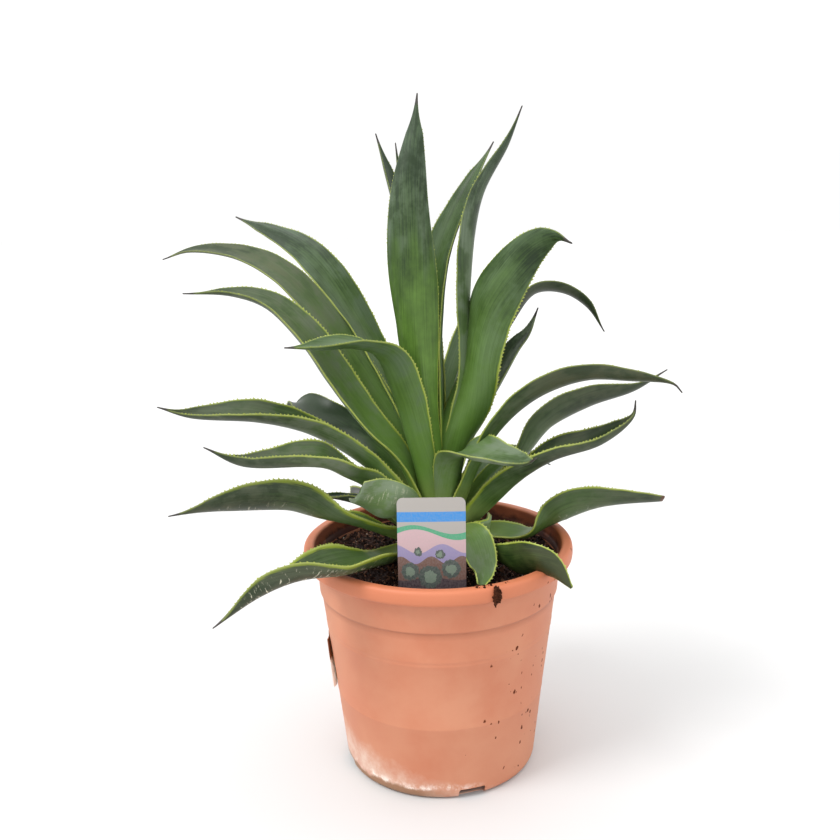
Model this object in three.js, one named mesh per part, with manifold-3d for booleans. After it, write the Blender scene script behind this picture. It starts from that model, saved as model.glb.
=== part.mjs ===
// A variegated agave in a 24 cm moulded nursery pot, with a plant label in its soil.
// Millimetres, +Z up. The origin is the centre of the pot's underside, where it stands.
// A leaf is a thick channelled blade swept along its midrib. All leaves clasp one short stem.
import * as THREE from "three";
import { mergeVertices } from "three/addons/utils/BufferGeometryUtils.js";
import Module from "manifold-3d";

const wasm = await Module();
wasm.setup();

// Clearance that touching pieces keep, and how the round pieces are faceted
const GAP = 0.3;
const ROUND_SIDES = 44;

// Pot
const RIM_RADIUS = 120;
const RIM_INNER_RADIUS = 110;
const RIM_HEIGHT = 13.5;
const POT_HEIGHT = 207;
const NECK_RADIUS = 108.5;
const NECK_BOTTOM = 165.5;
const SHOULDER_RADIUS = 105;
const BASE_RADIUS = 86.4;
const BASE_CORNER = 7;
const WALL = 1.8;
const FLOOR = 2.5;
const DRAIN_SLOTS = 4;
const DRAIN_FIRST_AZIMUTH = 288;
const DRAIN_WIDTH = 24;
const DRAIN_HEIGHT = 9;

// Potting soil and the stem that stands in it
const SOIL_TOP = 190;
const SOIL_LUMP = 1.4;
const SOIL_MOUND = 5;
const SOIL_MOUND_REACH = 45;
const STEM_SIDES = 16;
const STEM_PROFILE = [
  [14, 150],
  [22, 158],
  [24, 178],
  [23, 205],
  [18, 232],
  [12, 262],
  [8, 292],
  [5.5, 312],
];

// Central spear of unopened leaves: its midline, and its radius at equal steps along it
const SPEAR_PATH = [
  [0, 0, 312.6],
  [-6, 1, 360],
  [-15, 5, 430],
  [-24, 9, 495],
  [-30, 12, 549],
];
const SPEAR_RADIUS = [5, 8.5, 9, 8, 6.5, 4.5, 2.4, 0.5];
const SPEAR_SIDES = 10;
const SPEAR_STEPS = 14;

// Plant label: a plastic card with a pointed stake pushed into the soil
const LABEL_WIDTH = 56;
const LABEL_TOP = 270;
const LABEL_SHOULDER = 176;
const LABEL_SHOULDER_RISE = 14;
const LABEL_POINT = 150;
const LABEL_POINT_LENGTH = 12;
const LABEL_THICKNESS = 0.9;
const LABEL_CORNER = 5;
const LABEL_STAKE_WIDTH = 16;
const LABEL_X = -5;
const LABEL_Y = -78;
const LABEL_LEAN_DEGREES = 3;

// Paper sticker on the left of the pot, and the clump of soil caught on the rim
const STICKER_AZIMUTHS = [170, 194];
const STICKER_HEIGHTS = [74, 122];
const STICKER_THICKNESS = 0.7;
const CLUMP_AZIMUTH = 292.5;
const CLUMP_SIZE = [4, 4, 6.5];
const CLUMP_UNEVEN = 0.18;
const CLUMP_DROP = 6.5;

// Leaves. Half widths, half thicknesses and teeth, at equal steps from root to tip
const OUTLINE = [0.74, 0.64, 0.645, 0.76, 0.88, 0.975, 0.99, 0.89, 0.69, 0.39, 0.03];
const MIDRIB_THICKNESS = [3.6, 3.2, 2.8, 2.4, 2.0, 1.4, 0.5];
const MARGIN_THICKNESS = 0.6;
const STEP_LENGTH = 25;
const FEWEST_STEPS = 6;
const ACROSS = [-1, -0.45, 0.45, 1];
const TOOTH_SPACING = 46;
const TOOTHED_SHARE = [0.3, 0.86];
const TOOTH_LENGTH = 2;
const TOOTH_LEAN = 0.8;
const TOOTH_HALF_BASE = 1.8;
const TOOTH_ROOT = 0.4;

// azimuth: degrees from +X, anticlockwise from above. path: distance out, height and shift to
// the left of each point of the midrib. roll: turn of the blade about its midrib, and cup: turn
// of the margins out of the flat, both in degrees at equal steps. wave: height, count and phase.
// end: the share of a whole leaf that is left, where the leaf was cut or torn.
// They are listed from the heart of the rosette outwards, and each is cut clear of those before
// and of the pot's rim.
const LEAVES = [
  { name: "tall_front", azimuth: 262, width: 44,
    roll: [-3, -15, -15, 19, -23], cup: [80, 50, 40],
    path: [[10, 225, -3], [15.4, 282.5, -4.9], [27.4, 337.9, -10.9], [37.6, 406.2, -12.6],
      [35.8, 464.8, -13.1], [30.4, 523.3, -13.4], [15.5, 586.1, -9]] },
  { name: "right_inner", azimuth: 25, width: 39.7,
    roll: [16, 24, 17, 16, 11], cup: [80, 60, 40],
    path: [[6, 230], [0.6, 324.6, 0.1], [0.8, 399.9, 0.3], [8.3, 456, 0.3],
      [26.3, 497.5, 0.3], [56.5, 548.9, -0.5]] },
  { name: "right_narrow", azimuth: 350, width: 36.2,
    roll: [5, 4, 8, -12, -13], cup: [80, 60, 40],
    path: [[6, 230], [14.8, 299.7], [28.6, 359, 0.1], [29, 430.9, -0.4],
      [38.8, 504.3, 0.1], [61.9, 547, 0.5], [73.2, 575.1, -0.2]] },
  { name: "behind_left", azimuth: 120, width: 33.7,
    roll: [2, 4, 9, 29, 25], cup: [80, 60, 40],
    path: [[6, 235], [13.8, 333, -4], [26, 400, -2], [40.1, 460, 1.9], [55.7, 510.3, 8.3],
      [70.9, 558.1, 14.9]] },
  { name: "back_upright", azimuth: 95, width: 29,
    roll: [0, 0], cup: [80, 60, 40],
    path: [[6, 230], [22, 320, 5], [42, 395, 9], [58, 450, 10], [72, 495, 9],
      [84, 530, 6]] },
  { name: "big_right", azimuth: 325, width: 51.8,
    roll: [-14, -56, -107, -86, -71], cup: [80, 40, 40],
    path: [[8, 225], [16.4, 288.9, 0.1], [32.5, 341.9, 0.5], [44, 394.1, -0.3],
      [55.7, 422.8, -2.1], [87.3, 464.2, 4.8], [112.7, 475.7, 1], [130.5, 471.7, -4.1]] },
  { name: "front_bent", azimuth: 225, width: 46,
    roll: [0, 0, 0, -10], cup: [80, 50, 50],
    path: [[10, 220], [18, 270], [28, 304], [41, 345], [60, 380], [92, 393], [125, 396],
      [158, 401]] },
  { name: "left_arch_high", azimuth: 150, width: 41.1,
    roll: [-5, -3, -3, -29, -25], cup: [60, 40, 40],
    path: [[8, 235], [29.1, 307.6, 0.1], [55.5, 355.2, -0.3], [86.6, 404.4, -0.2],
      [114.3, 439.6, 0.8], [141.4, 460.1, -1.1], [211.4, 487.8, 0.9]] },
  { name: "left_arch_long", azimuth: 172, width: 41.1,
    roll: [-23, -41, -22, -22, -13], cup: [60, 40, 40],
    path: [[8, 228], [30.3, 296], [60.6, 344.6, -0.1], [100.1, 404.4, 0.1],
      [133.4, 440.9, 1], [168.3, 457.9, -1], [211.9, 462.7, 1.1], [238.3, 455.6, -0.5]] },
  { name: "left_arch_low", azimuth: 198, width: 40.5,
    roll: [-18, -40, -42, -33, 9], cup: [60, 50, 50],
    path: [[10, 222], [32, 282.9], [62.7, 321.3, -0.1], [89.9, 361.4, -0.3],
      [112.8, 396.8, 2.1], [140.6, 424.2, -0.6], [168.4, 433.7, -1.8], [206.5, 437, 0.7]] },
  { name: "right_arch", azimuth: 15, width: 34,
    roll: [0, -20, -20, -10], cup: [80, 50, 40],
    path: [[10, 225], [27, 316], [48, 360], [69, 399], [90, 423], [118, 422], [140, 408],
      [156, 385]] },
  { name: "right_small", azimuth: 20, width: 30,
    roll: [0, 4, 8, 14, 18], cup: [80, 50, 50],
    path: [[12, 220], [28.8, 301.7], [52, 337.4], [75.8, 373.7], [87.8, 387.6, -0.4],
      [96.9, 407.8, 0.1]] },
  { name: "back_right_arch", azimuth: 66, width: 42,
    roll: [0, 0], cup: [80, 60, 50],
    path: [[8, 225], [30, 305], [60, 345], [95, 375], [130, 400], [165, 415], [200, 415]] },
  { name: "back_left_arch", azimuth: 126, width: 40,
    roll: [0, -10, 0], cup: [80, 60, 50],
    path: [[12, 225], [35, 300], [62, 335], [92, 353], [125, 358], [158, 345]] },
  { name: "right_long", azimuth: 328, width: 41.8,
    roll: [14, 24, -1, -24, -32], cup: [80, 50, 40],
    path: [[14, 220], [43.1, 287, 0.5], [62.1, 316.8, -0.3], [97.1, 348.4, -0.1],
      [140.3, 367.4, -1.6], [171.5, 368.8, 3.6], [210.3, 368.6, -0.3],
      [216.3, 363.1, 0.2]] },
  { name: "right_under", azimuth: 358, width: 43.7,
    roll: [15, 15, -32, -36, -7], cup: [80, 45, 40],
    path: [[16, 215], [47.3, 259.6, -0.3], [77.1, 285.9, -0.9], [97.5, 312.2, 0.4],
      [131.7, 330.6, 1.7], [170.6, 342.5, -1.2], [197, 358.8]] },
  { name: "right_channelled", azimuth: 335, width: 42.4,
    roll: [-27, -34, 1, 13, 21], cup: [80, 75, 75],
    path: [[16, 208], [46, 242.9, -0.2], [73.8, 269.9, -1.5], [108.6, 294.9, -1.9],
      [148.5, 312.1, 0.1], [173, 335.2, -0.2], [173.4, 347.2, 2.7]] },
  { name: "front_toothed", azimuth: 300, width: 41.9,
    roll: [-7, -10, 14, 9, 14], cup: [80, 50, 50],
    path: [[14, 212], [20.7, 253.4, -0.1], [30.5, 288, 0.8], [55.5, 299.9, 0.7],
      [89.5, 303.1, -1.2], [130.4, 308.2, 3.4], [147.6, 317.4, 0.3]] },
  { name: "left_long", azimuth: 193, width: 44.5,
    roll: [7, 12, 6, -13, -4], cup: [80, 75, 65],
    path: [[16, 218], [40.3, 257.7, 0.5], [64.7, 282.9, -0.8], [106.5, 311.5, -1.9],
      [153.4, 328.5, 2.2], [209.9, 333.5, -3.7], [232.9, 344, 2.9]] },
  { name: "left_back_dark", azimuth: 148, width: 52.7,
    roll: [2, -25.9, 4, -14.6, -6.2], cup: [80, 50, 50],
    path: [[14, 220], [51, 262.7], [86.9, 288.4, 2.8], [125.3, 303.1, 4.8],
      [153.6, 313.9, -3.2], [165.5, 307, -5], [171, 292, -6]] },
  { name: "left_middle", azimuth: 212, width: 46.9,
    roll: [13, 20, -11, 5, 15], cup: [80, 75, 65],
    path: [[16, 214], [41.3, 240.2, 0.2], [66.7, 267.9, -2.5], [89.1, 282.1, -1.9],
      [114.7, 297.3, 5.3], [179.4, 306, 0.3], [208.8, 324.4, -1.5]] },
  { name: "left_torn", azimuth: 236, width: 43.3,
    roll: [9, 33, 50, 60, 20], cup: [70, 50, 40], end: 0.55,
    path: [[12, 212], [42, 234.7, 1.7], [64.8, 256.8, 9.6], [95.7, 269, -14.8]] },
  { name: "back_low_left", azimuth: 108, width: 42,
    roll: [0, 0], cup: [70, 50, 50],
    path: [[16, 205], [41, 257], [80, 285], [125, 288], [172, 265]] },
  { name: "back_low_middle", azimuth: 80, width: 42,
    roll: [0, 0], cup: [70, 50, 50],
    path: [[16, 204], [41, 240], [72, 260], [108, 262], [150, 240]] },
  { name: "back_low_right", azimuth: 42, width: 40,
    roll: [0, 0], cup: [70, 50, 50],
    path: [[16, 204], [40, 242], [75, 262], [112, 262], [150, 244]] },
  { name: "back_bottom_left", azimuth: 130, width: 44,
    roll: [0, 0], cup: [60, 50, 50],
    path: [[16, 203], [42, 218], [75, 228], [108, 226], [136, 212]] },
  { name: "back_bottom_middle", azimuth: 103, width: 44,
    roll: [0, 0], cup: [60, 50, 50],
    path: [[16, 203], [42, 215], [75, 224], [112, 226], [148, 216]] },
  { name: "back_bottom_right", azimuth: 74, width: 42,
    roll: [0, 0], cup: [60, 50, 50],
    path: [[16, 203], [42, 214], [75, 221], [108, 222], [138, 210]] },
  { name: "left_low", azimuth: 203, width: 44.1,
    roll: [42, 1, 48, 56, 28], cup: [60, 50, 40],
    path: [[16, 207], [43.3, 217.8, 0.4], [73.4, 232.4, 1.1], [102, 242.2, -3.7],
      [130.6, 258.4, -1.1], [169.7, 264.6, 0.6], [233.1, 263.1, 0.6]] },
  { name: "left_small", azimuth: 170, width: 32.1,
    roll: [5, 0, 10, 13, -29], cup: [70, 50, 50],
    path: [[14, 205], [42.2, 225, 0.2], [71.8, 237, -0.3], [108.6, 243.8, 0.2]] },
  { name: "right_low", azimuth: 14, width: 37.1,
    roll: [-7, 21, -69, -42, -25], cup: [40, 40, 40], end: 0.88,
    path: [[14, 203], [53.5, 206.6, 1.2], [84.5, 204, -4.9], [101.7, 213.9, -5.3],
      [117.4, 225.3, -9.8], [155.7, 226.8, -4.2], [214.1, 224.3, -6.1]] },
  { name: "front_right_drooping", azimuth: 322, width: 37.7,
    roll: [-3, -21, -62, -69, -99], cup: [60, 40, 40], end: 0.97,
    path: [[14, 203], [50.6, 205.4, 1.5], [84.1, 204.8, -6.4], [110.9, 214.8, -14],
      [128.1, 212.3, -12], [144.8, 200.7, -12.1]] },
  { name: "left_drooping", azimuth: 217, width: 53,
    roll: [25, 9, 0, 34, 26], cup: [60, 60, 50], wave: [3, 2.5, 0],
    path: [[14, 203], [43.8, 196.7, -7.3], [75, 207.8, 14.4], [124.1, 214.3, 23.4],
      [165.2, 219.3, 28.7], [189.4, 211.4, 21.6], [224.5, 191, 11.4]] },
  { name: "front_folded", azimuth: 300, width: 34.7,
    roll: [3, 9, 8, -1, -7], cup: [50, 40, 60], end: 0.9,
    path: [[14, 205], [34.9, 222.4, -2.4], [59.3, 225.8, -2.4], [75.3, 201, -2.5],
      [85, 194.7, -9.6]] },
  { name: "right_stub", azimuth: 330, width: 30,
    roll: [0, 0], cup: [50, 50, 50], end: 0.6,
    path: [[14, 203], [32, 206], [46, 218], [50, 233]] },
];

// Directions at an azimuth: outwards, and to the left of that
function directions(azimuth) {
  const a = THREE.MathUtils.degToRad(azimuth);
  const outward = new THREE.Vector3(Math.cos(a), Math.sin(a), 0);
  const left = new THREE.Vector3(-Math.sin(a), Math.cos(a), 0);
  return { outward, left };
}

// A value from a list of values at equal steps, on a smooth curve through them
function along(values, share) {
  const last = values.length - 1;
  const at = Math.min(share, 1) * last;
  const i = Math.min(Math.floor(at), last - 1);
  const t = at - i;
  const before = values[Math.max(i - 1, 0)];
  const after = values[Math.min(i + 2, last)];
  const slopeIn = (values[i + 1] - before) / 2;
  const slopeOut = (after - values[i]) / 2;
  const rise = values[i + 1] - values[i];
  const square = 3 * rise - 2 * slopeIn - slopeOut;
  const cube = slopeIn + slopeOut - 2 * rise;
  return values[i] + t * (slopeIn + t * (square + t * cube));
}

// Solid from a geometry, and geometry from a solid
function solidOf(geometry) {
  const bare = geometry.clone();
  bare.deleteAttribute("normal");
  bare.deleteAttribute("uv");
  const merged = mergeVertices(bare, 1e-4);
  return new wasm.Manifold(
    new wasm.Mesh({
      numProp: 3,
      vertProperties: merged.attributes.position.array,
      triVerts: new Uint32Array(merged.index.array),
    }),
  );
}

function geometryOf(solid) {
  const mesh = solid.getMesh();
  const geometry = new THREE.BufferGeometry();
  geometry.setAttribute("position", new THREE.BufferAttribute(mesh.vertProperties, 3));
  geometry.setIndex(new THREE.BufferAttribute(mesh.triVerts, 1));
  geometry.computeVertexNormals();
  return geometry;
}

function largestBody(solid) {
  return solid.decompose().sort((a, b) => b.volume() - a.volume())[0];
}

// Solid turned from a profile of [radius, height] about the pot's axis
function turned(profile, sides = ROUND_SIDES) {
  const points = profile.map(([radius, height]) => new THREE.Vector2(radius, height));
  return new THREE.LatheGeometry(points, sides).rotateX(Math.PI / 2);
}

// Closed sheet between two grids of points, with both faces split into triangles alike
function sheet(upper, lower) {
  const rows = upper.length;
  const columns = upper[0].length;
  const end = rows - 1;
  const far = columns - 1;
  const positions = [...upper.flat(), ...lower.flat()].flatMap((p) => p.toArray());
  const top = (i, j) => i * columns + j;
  const under = (i, j) => rows * columns + i * columns + j;
  const faces = [];
  const quad = (a, b, c, d) => faces.push(a, b, c, a, c, d);
  for (let i = 0; i < rows - 1; i++) {
    for (let j = 0; j < columns - 1; j++) {
      quad(top(i, j), top(i + 1, j), top(i + 1, j + 1), top(i, j + 1));
      quad(under(i + 1, j + 1), under(i + 1, j), under(i, j), under(i, j + 1));
    }
    quad(top(i + 1, 0), top(i, 0), under(i, 0), under(i + 1, 0));
    quad(top(i, far), top(i + 1, far), under(i + 1, far), under(i, far));
  }
  for (let j = 0; j < columns - 1; j++) {
    quad(top(0, j), top(0, j + 1), under(0, j + 1), under(0, j));
    quad(top(end, j + 1), top(end, j), under(end, j), under(end, j + 1));
  }
  const geometry = new THREE.BufferGeometry();
  geometry.setAttribute("position", new THREE.Float32BufferAttribute(positions, 3));
  geometry.setIndex(faces);
  return geometry;
}

// Frames along a leaf's midrib: its point, the way to its left margin and the way its face looks
function leafFrames(leaf) {
  const { outward, left } = directions(leaf.azimuth);
  const points = leaf.path.map(([out, up, side = 0]) =>
    outward.clone().multiplyScalar(out).addScaledVector(left, side).setZ(up),
  );
  const curve = new THREE.CatmullRomCurve3(points, false, "centripetal");
  const across = left.clone();
  const steps = Math.max(FEWEST_STEPS, Math.round(curve.getLength() / STEP_LENGTH));
  return Array.from({ length: steps + 1 }, (_, i) => {
    const share = i / steps;
    const tangent = curve.getTangentAt(share);
    across.addScaledVector(tangent, -across.dot(tangent)).normalize();
    const roll = THREE.MathUtils.degToRad(along(leaf.roll, share));
    const margin = across.clone().applyAxisAngle(tangent, roll);
    return { share, point: curve.getPointAt(share), margin, face: tangent.clone().cross(margin) };
  });
}

// Place on a leaf's mid-surface: u runs from -1 at one margin to 1 at the other. With the
// point come the way across the blade there and the way its upper face looks.
function placeOnLeaf(leaf, frame, u, grow = 0) {
  const whole = frame.share * (leaf.end ?? 1);
  const cup = THREE.MathUtils.degToRad(along(leaf.cup, frame.share));
  const halfWidth = (leaf.width / 2) * along(OUTLINE, whole) + grow;
  const [waveHeight, waves, phase] = leaf.wave ?? [0, 0, 0];
  const turn = 2 * Math.PI * (waves * frame.share + phase + (u > 0 ? 0.25 : 0));
  const wave = waveHeight * u * u * Math.sin(turn) * Math.sin(Math.PI * frame.share);
  const sideways = (halfWidth * Math.sin(cup * u)) / cup;
  const upwards = (halfWidth * (1 - Math.cos(cup * u))) / cup + wave;
  const mix = (a, b) => frame.margin.clone().multiplyScalar(a).addScaledVector(frame.face, b);
  return {
    point: mix(sideways, upwards).add(frame.point),
    across: mix(Math.cos(cup * u), Math.sin(cup * u)),
    normal: mix(-Math.sin(cup * u), Math.cos(cup * u)),
  };
}

// A leaf's blade; grow swells it all round, for cutting its neighbours clear of it
function blade(leaf, frames, grow) {
  const grid = (sign) =>
    frames.map((frame) =>
      ACROSS.map((u) => {
        const middle = along(MIDRIB_THICKNESS, frame.share * (leaf.end ?? 1));
        const edge = Math.min(MARGIN_THICKNESS, middle);
        const thickness = edge + (middle - edge) * (1 - u * u) + grow;
        const { point, normal } = placeOnLeaf(leaf, frame, u, grow);
        return point.addScaledVector(normal, sign * thickness);
      }),
    );
  return sheet(grid(1), grid(-1));
}

// One marginal tooth: a three-sided thorn that leans towards the leaf's tip
function tooth(leaf, frames, share, side, grow) {
  const i = Math.floor(share * (frames.length - 1));
  const before = placeOnLeaf(leaf, frames[i], side);
  const after = placeOnLeaf(leaf, frames[i + 1], side);
  const centre = before.point.clone().lerp(after.point, 0.5);
  const tangent = after.point.clone().sub(before.point).normalize();
  const outwards = before.across.clone().lerp(after.across, 0.5).multiplyScalar(side);
  const normal = before.normal.clone().lerp(after.normal, 0.5);
  const corner = (out, forward, up) =>
    centre
      .clone()
      .addScaledVector(outwards, out)
      .addScaledVector(tangent, forward)
      .addScaledVector(normal, up)
      .toArray();
  const half = TOOTH_HALF_BASE + grow;
  const corners = [
    corner(-TOOTH_ROOT, -half, -TOOTH_ROOT - grow),
    corner(-TOOTH_ROOT, half, -TOOTH_ROOT - grow),
    corner(-TOOTH_ROOT, 0, TOOTH_ROOT + grow),
    corner(TOOTH_LENGTH + grow, TOOTH_LEAN, 0),
  ];
  const faces = [[0, 1, 2], [0, 3, 1], [1, 3, 2], [2, 3, 0]];
  const facingOut = side > 0 ? faces : faces.map((face) => face.toReversed());
  const geometry = new THREE.BufferGeometry();
  geometry.setAttribute("position", new THREE.Float32BufferAttribute(corners.flat(), 3));
  geometry.setIndex(facingOut.flat());
  return solidOf(geometry);
}

function toothedLeaf(leaf, frames, grow = 0) {
  const [first, last] = TOOTHED_SHARE;
  const toothedLength = (last - first) * (frames.length - 1) * STEP_LENGTH;
  const pairs = Math.round(toothedLength / TOOTH_SPACING);
  const teeth = [];
  for (let k = 0; k < pairs; k++) {
    const share = THREE.MathUtils.lerp(first, last, k / (pairs - 1));
    teeth.push(tooth(leaf, frames, share, 1, grow), tooth(leaf, frames, share, -1, grow));
  }
  return wasm.Manifold.union([solidOf(blade(leaf, frames, grow)), ...teeth]);
}

// Pot: a thin moulded shell with a rolled rim, a stepped neck and drain slots at its base
function potProfile() {
  const corner = [];
  for (let step = 0; step <= 3; step++) {
    const a = (step / 3) * (Math.PI / 2);
    corner.push([
      BASE_RADIUS - BASE_CORNER + BASE_CORNER * Math.sin(a),
      BASE_CORNER - BASE_CORNER * Math.cos(a),
    ]);
  }
  const rimBottom = POT_HEIGHT - RIM_HEIGHT;
  return [
    [0, 0],
    ...corner,
    [SHOULDER_RADIUS, NECK_BOTTOM - 2],
    [SHOULDER_RADIUS + 1.6, NECK_BOTTOM],
    [NECK_RADIUS, rimBottom],
    [RIM_RADIUS - 2.5, rimBottom],
    [RIM_RADIUS, rimBottom + 2.5],
    [RIM_RADIUS - 0.8, POT_HEIGHT - 4],
    [RIM_RADIUS - 4, POT_HEIGHT],
    [RIM_INNER_RADIUS + 1.5, POT_HEIGHT],
    [RIM_INNER_RADIUS, POT_HEIGHT - 2],
    [RIM_INNER_RADIUS - 1.5, rimBottom + 2],
    ...innerWall(0),
  ];
}

// Inside of the pot below the rim, drawn in by a clearance, from the top down to the axis
function innerWall(clearance) {
  return [
    [NECK_RADIUS - WALL - clearance, POT_HEIGHT - RIM_HEIGHT],
    [SHOULDER_RADIUS - 0.4 - clearance, NECK_BOTTOM - 3],
    [BASE_RADIUS - WALL - clearance, BASE_CORNER + 3],
    [BASE_RADIUS - BASE_CORNER - clearance, FLOOR + clearance],
    [0, FLOOR + clearance],
  ];
}

function makePot() {
  let pot = solidOf(turned(potProfile()));
  for (let k = 0; k < DRAIN_SLOTS; k++) {
    const azimuth = DRAIN_FIRST_AZIMUTH + (k * 360) / DRAIN_SLOTS;
    const { outward } = directions(azimuth);
    const slot = new THREE.BoxGeometry(4 * BASE_CORNER, DRAIN_WIDTH, 2 * DRAIN_HEIGHT)
      .rotateZ(THREE.MathUtils.degToRad(azimuth))
      .translate(...outward.multiplyScalar(BASE_RADIUS + BASE_CORNER).toArray());
    pot = pot.subtract(solidOf(slot));
  }
  return pot;
}

// Soil: fills the pot up to a lumpy top, with a plain hole for the stem and a slot for the label
function lumpHeight(x, y) {
  const mound = SOIL_MOUND * Math.exp(-(x * x + y * y) / (SOIL_MOUND_REACH * SOIL_MOUND_REACH));
  const wide = Math.sin(x / 9 + 1) * Math.cos(y / 11);
  const narrow = 0.6 * Math.sin((x + y) / 5.5);
  return mound + SOIL_LUMP * (wide + narrow - 0.5);
}

function makeSoil(stemHole, labelSlot) {
  const topRings = [0, 28, 50, 74, 96].map((radius) => [radius, SOIL_TOP]);
  const [topEdge, ...wall] = innerWall(GAP);
  const edgeRadius = topEdge[0] - 0.5;
  const geometry = turned([...wall.reverse(), [edgeRadius, SOIL_TOP - 3], ...topRings.reverse()]);
  const position = geometry.attributes.position;
  for (let i = 0; i < position.count; i++) {
    if (position.getZ(i) > SOIL_TOP - 1) {
      position.setZ(i, SOIL_TOP + lumpHeight(position.getX(i), position.getY(i)));
    }
  }
  return solidOf(geometry).subtract(stemHole).subtract(labelSlot);
}

// Stem, swollen by a clearance where it cuts the hole it stands in
function makeStem(clearance = 0) {
  const side = STEM_PROFILE.map(([radius, height]) => [radius + clearance, height]);
  const bottom = [0, STEM_PROFILE[0][1] - clearance];
  const top = [0, STEM_PROFILE.at(-1)[1] + clearance];
  side[0][1] -= clearance;
  side.at(-1)[1] += clearance;
  return solidOf(turned([bottom, ...side, top], STEM_SIDES));
}

function makeSpear(clearance = 0) {
  const points = SPEAR_PATH.map((p) => new THREE.Vector3(...p));
  const curve = new THREE.CatmullRomCurve3(points, false, "centripetal");
  const positions = [];
  for (let i = 0; i <= SPEAR_STEPS; i++) {
    const centre = curve.getPointAt(i / SPEAR_STEPS);
    const radius = along(SPEAR_RADIUS, i / SPEAR_STEPS) + clearance;
    for (let k = 0; k < SPEAR_SIDES; k++) {
      const { outward } = directions((360 * k) / SPEAR_SIDES);
      positions.push(...centre.clone().addScaledVector(outward, radius).toArray());
    }
  }
  positions.push(...curve.getPointAt(0).toArray(), ...curve.getPointAt(1).toArray());
  const topRing = SPEAR_STEPS * SPEAR_SIDES;
  const bottom = topRing + SPEAR_SIDES;
  const top = bottom + 1;
  const faces = [];
  for (let k = 0; k < SPEAR_SIDES; k++) {
    const next = (k + 1) % SPEAR_SIDES;
    for (let ring = 0; ring < topRing; ring += SPEAR_SIDES) {
      const a = ring + k;
      const b = ring + next;
      faces.push(a, b, b + SPEAR_SIDES, a, b + SPEAR_SIDES, a + SPEAR_SIDES);
    }
    faces.push(bottom, next, k, top, topRing + k, topRing + next);
  }
  const geometry = new THREE.BufferGeometry();
  geometry.setAttribute("position", new THREE.Float32BufferAttribute(positions, 3));
  geometry.setIndex(faces);
  return solidOf(geometry);
}

// Label card, upright in the plane of its outline, then leant back and set in the soil
function makeLabel(clearance = 0) {
  const half = LABEL_WIDTH / 2 + clearance;
  const stake = LABEL_STAKE_WIDTH / 2 + clearance;
  const top = LABEL_TOP + clearance;
  const point = LABEL_POINT - clearance;
  const outline = new THREE.Shape()
    .moveTo(0, point)
    .lineTo(stake, point + LABEL_POINT_LENGTH)
    .lineTo(stake, LABEL_SHOULDER)
    .lineTo(half, LABEL_SHOULDER + LABEL_SHOULDER_RISE)
    .lineTo(half, top - LABEL_CORNER)
    .absarc(half - LABEL_CORNER, top - LABEL_CORNER, LABEL_CORNER, 0, Math.PI / 2)
    .lineTo(LABEL_CORNER - half, top)
    .absarc(LABEL_CORNER - half, top - LABEL_CORNER, LABEL_CORNER, Math.PI / 2, Math.PI)
    .lineTo(-half, LABEL_SHOULDER + LABEL_SHOULDER_RISE)
    .lineTo(-stake, LABEL_SHOULDER)
    .lineTo(-stake, point + LABEL_POINT_LENGTH);
  const depth = LABEL_THICKNESS + 2 * clearance;
  const card = new THREE.ExtrudeGeometry(outline, { depth, bevelEnabled: false, curveSegments: 4 })
    .translate(0, -SOIL_TOP, -depth / 2)
    .rotateX(Math.PI / 2 - THREE.MathUtils.degToRad(LABEL_LEAN_DEGREES))
    .translate(LABEL_X, LABEL_Y, SOIL_TOP);
  return solidOf(card);
}

// Sticker: a patch that follows the pot's tapered wall
function makeSticker() {
  const slope = (SHOULDER_RADIUS - BASE_RADIUS) / (NECK_BOTTOM - 2 - BASE_CORNER);
  const columns = 6;
  const grid = (lift) =>
    STICKER_HEIGHTS.map((height) =>
      Array.from({ length: columns + 1 }, (_, k) => {
        const azimuth = THREE.MathUtils.lerp(...STICKER_AZIMUTHS, k / columns);
        const radius = BASE_RADIUS + slope * (height - BASE_CORNER) + GAP + lift;
        return directions(azimuth).outward.multiplyScalar(radius).setZ(height);
      }),
    );
  return solidOf(sheet(grid(0), grid(STICKER_THICKNESS)));
}

// Pot moved out from the axis, and up, for cutting what rests on its rim clear of it
function swollenPot(outwards) {
  const profile = potProfile().map(([radius, height]) => [radius && radius + outwards, height + GAP]);
  return solidOf(turned(profile));
}

// Soil clump: an uneven lump that sits over the outer edge of the rim
function makeClump(rim) {
  const geometry = new THREE.IcosahedronGeometry(1, 2);
  const position = geometry.attributes.position;
  for (let i = 0; i < position.count; i++) {
    const [x, y, z] = [position.getX(i), position.getY(i), position.getZ(i)];
    const bump = 1 + CLUMP_UNEVEN * Math.sin(4 * x + 2 * z) * Math.cos(5 * y);
    const [deep, wide, tall] = CLUMP_SIZE.map((radius) => radius * bump);
    position.setXYZ(i, x * deep, y * wide, z * tall);
  }
  const { outward } = directions(CLUMP_AZIMUTH);
  geometry
    .rotateZ(THREE.MathUtils.degToRad(CLUMP_AZIMUTH))
    .translate(...outward.multiplyScalar(RIM_RADIUS).setZ(POT_HEIGHT - CLUMP_DROP).toArray());
  return largestBody(solidOf(geometry).subtract(rim));
}

// Whole object
const part = new THREE.Group();

function add(name, solid, material) {
  const mesh = new THREE.Mesh(geometryOf(solid), material);
  mesh.name = name;
  part.add(mesh);
}

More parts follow.
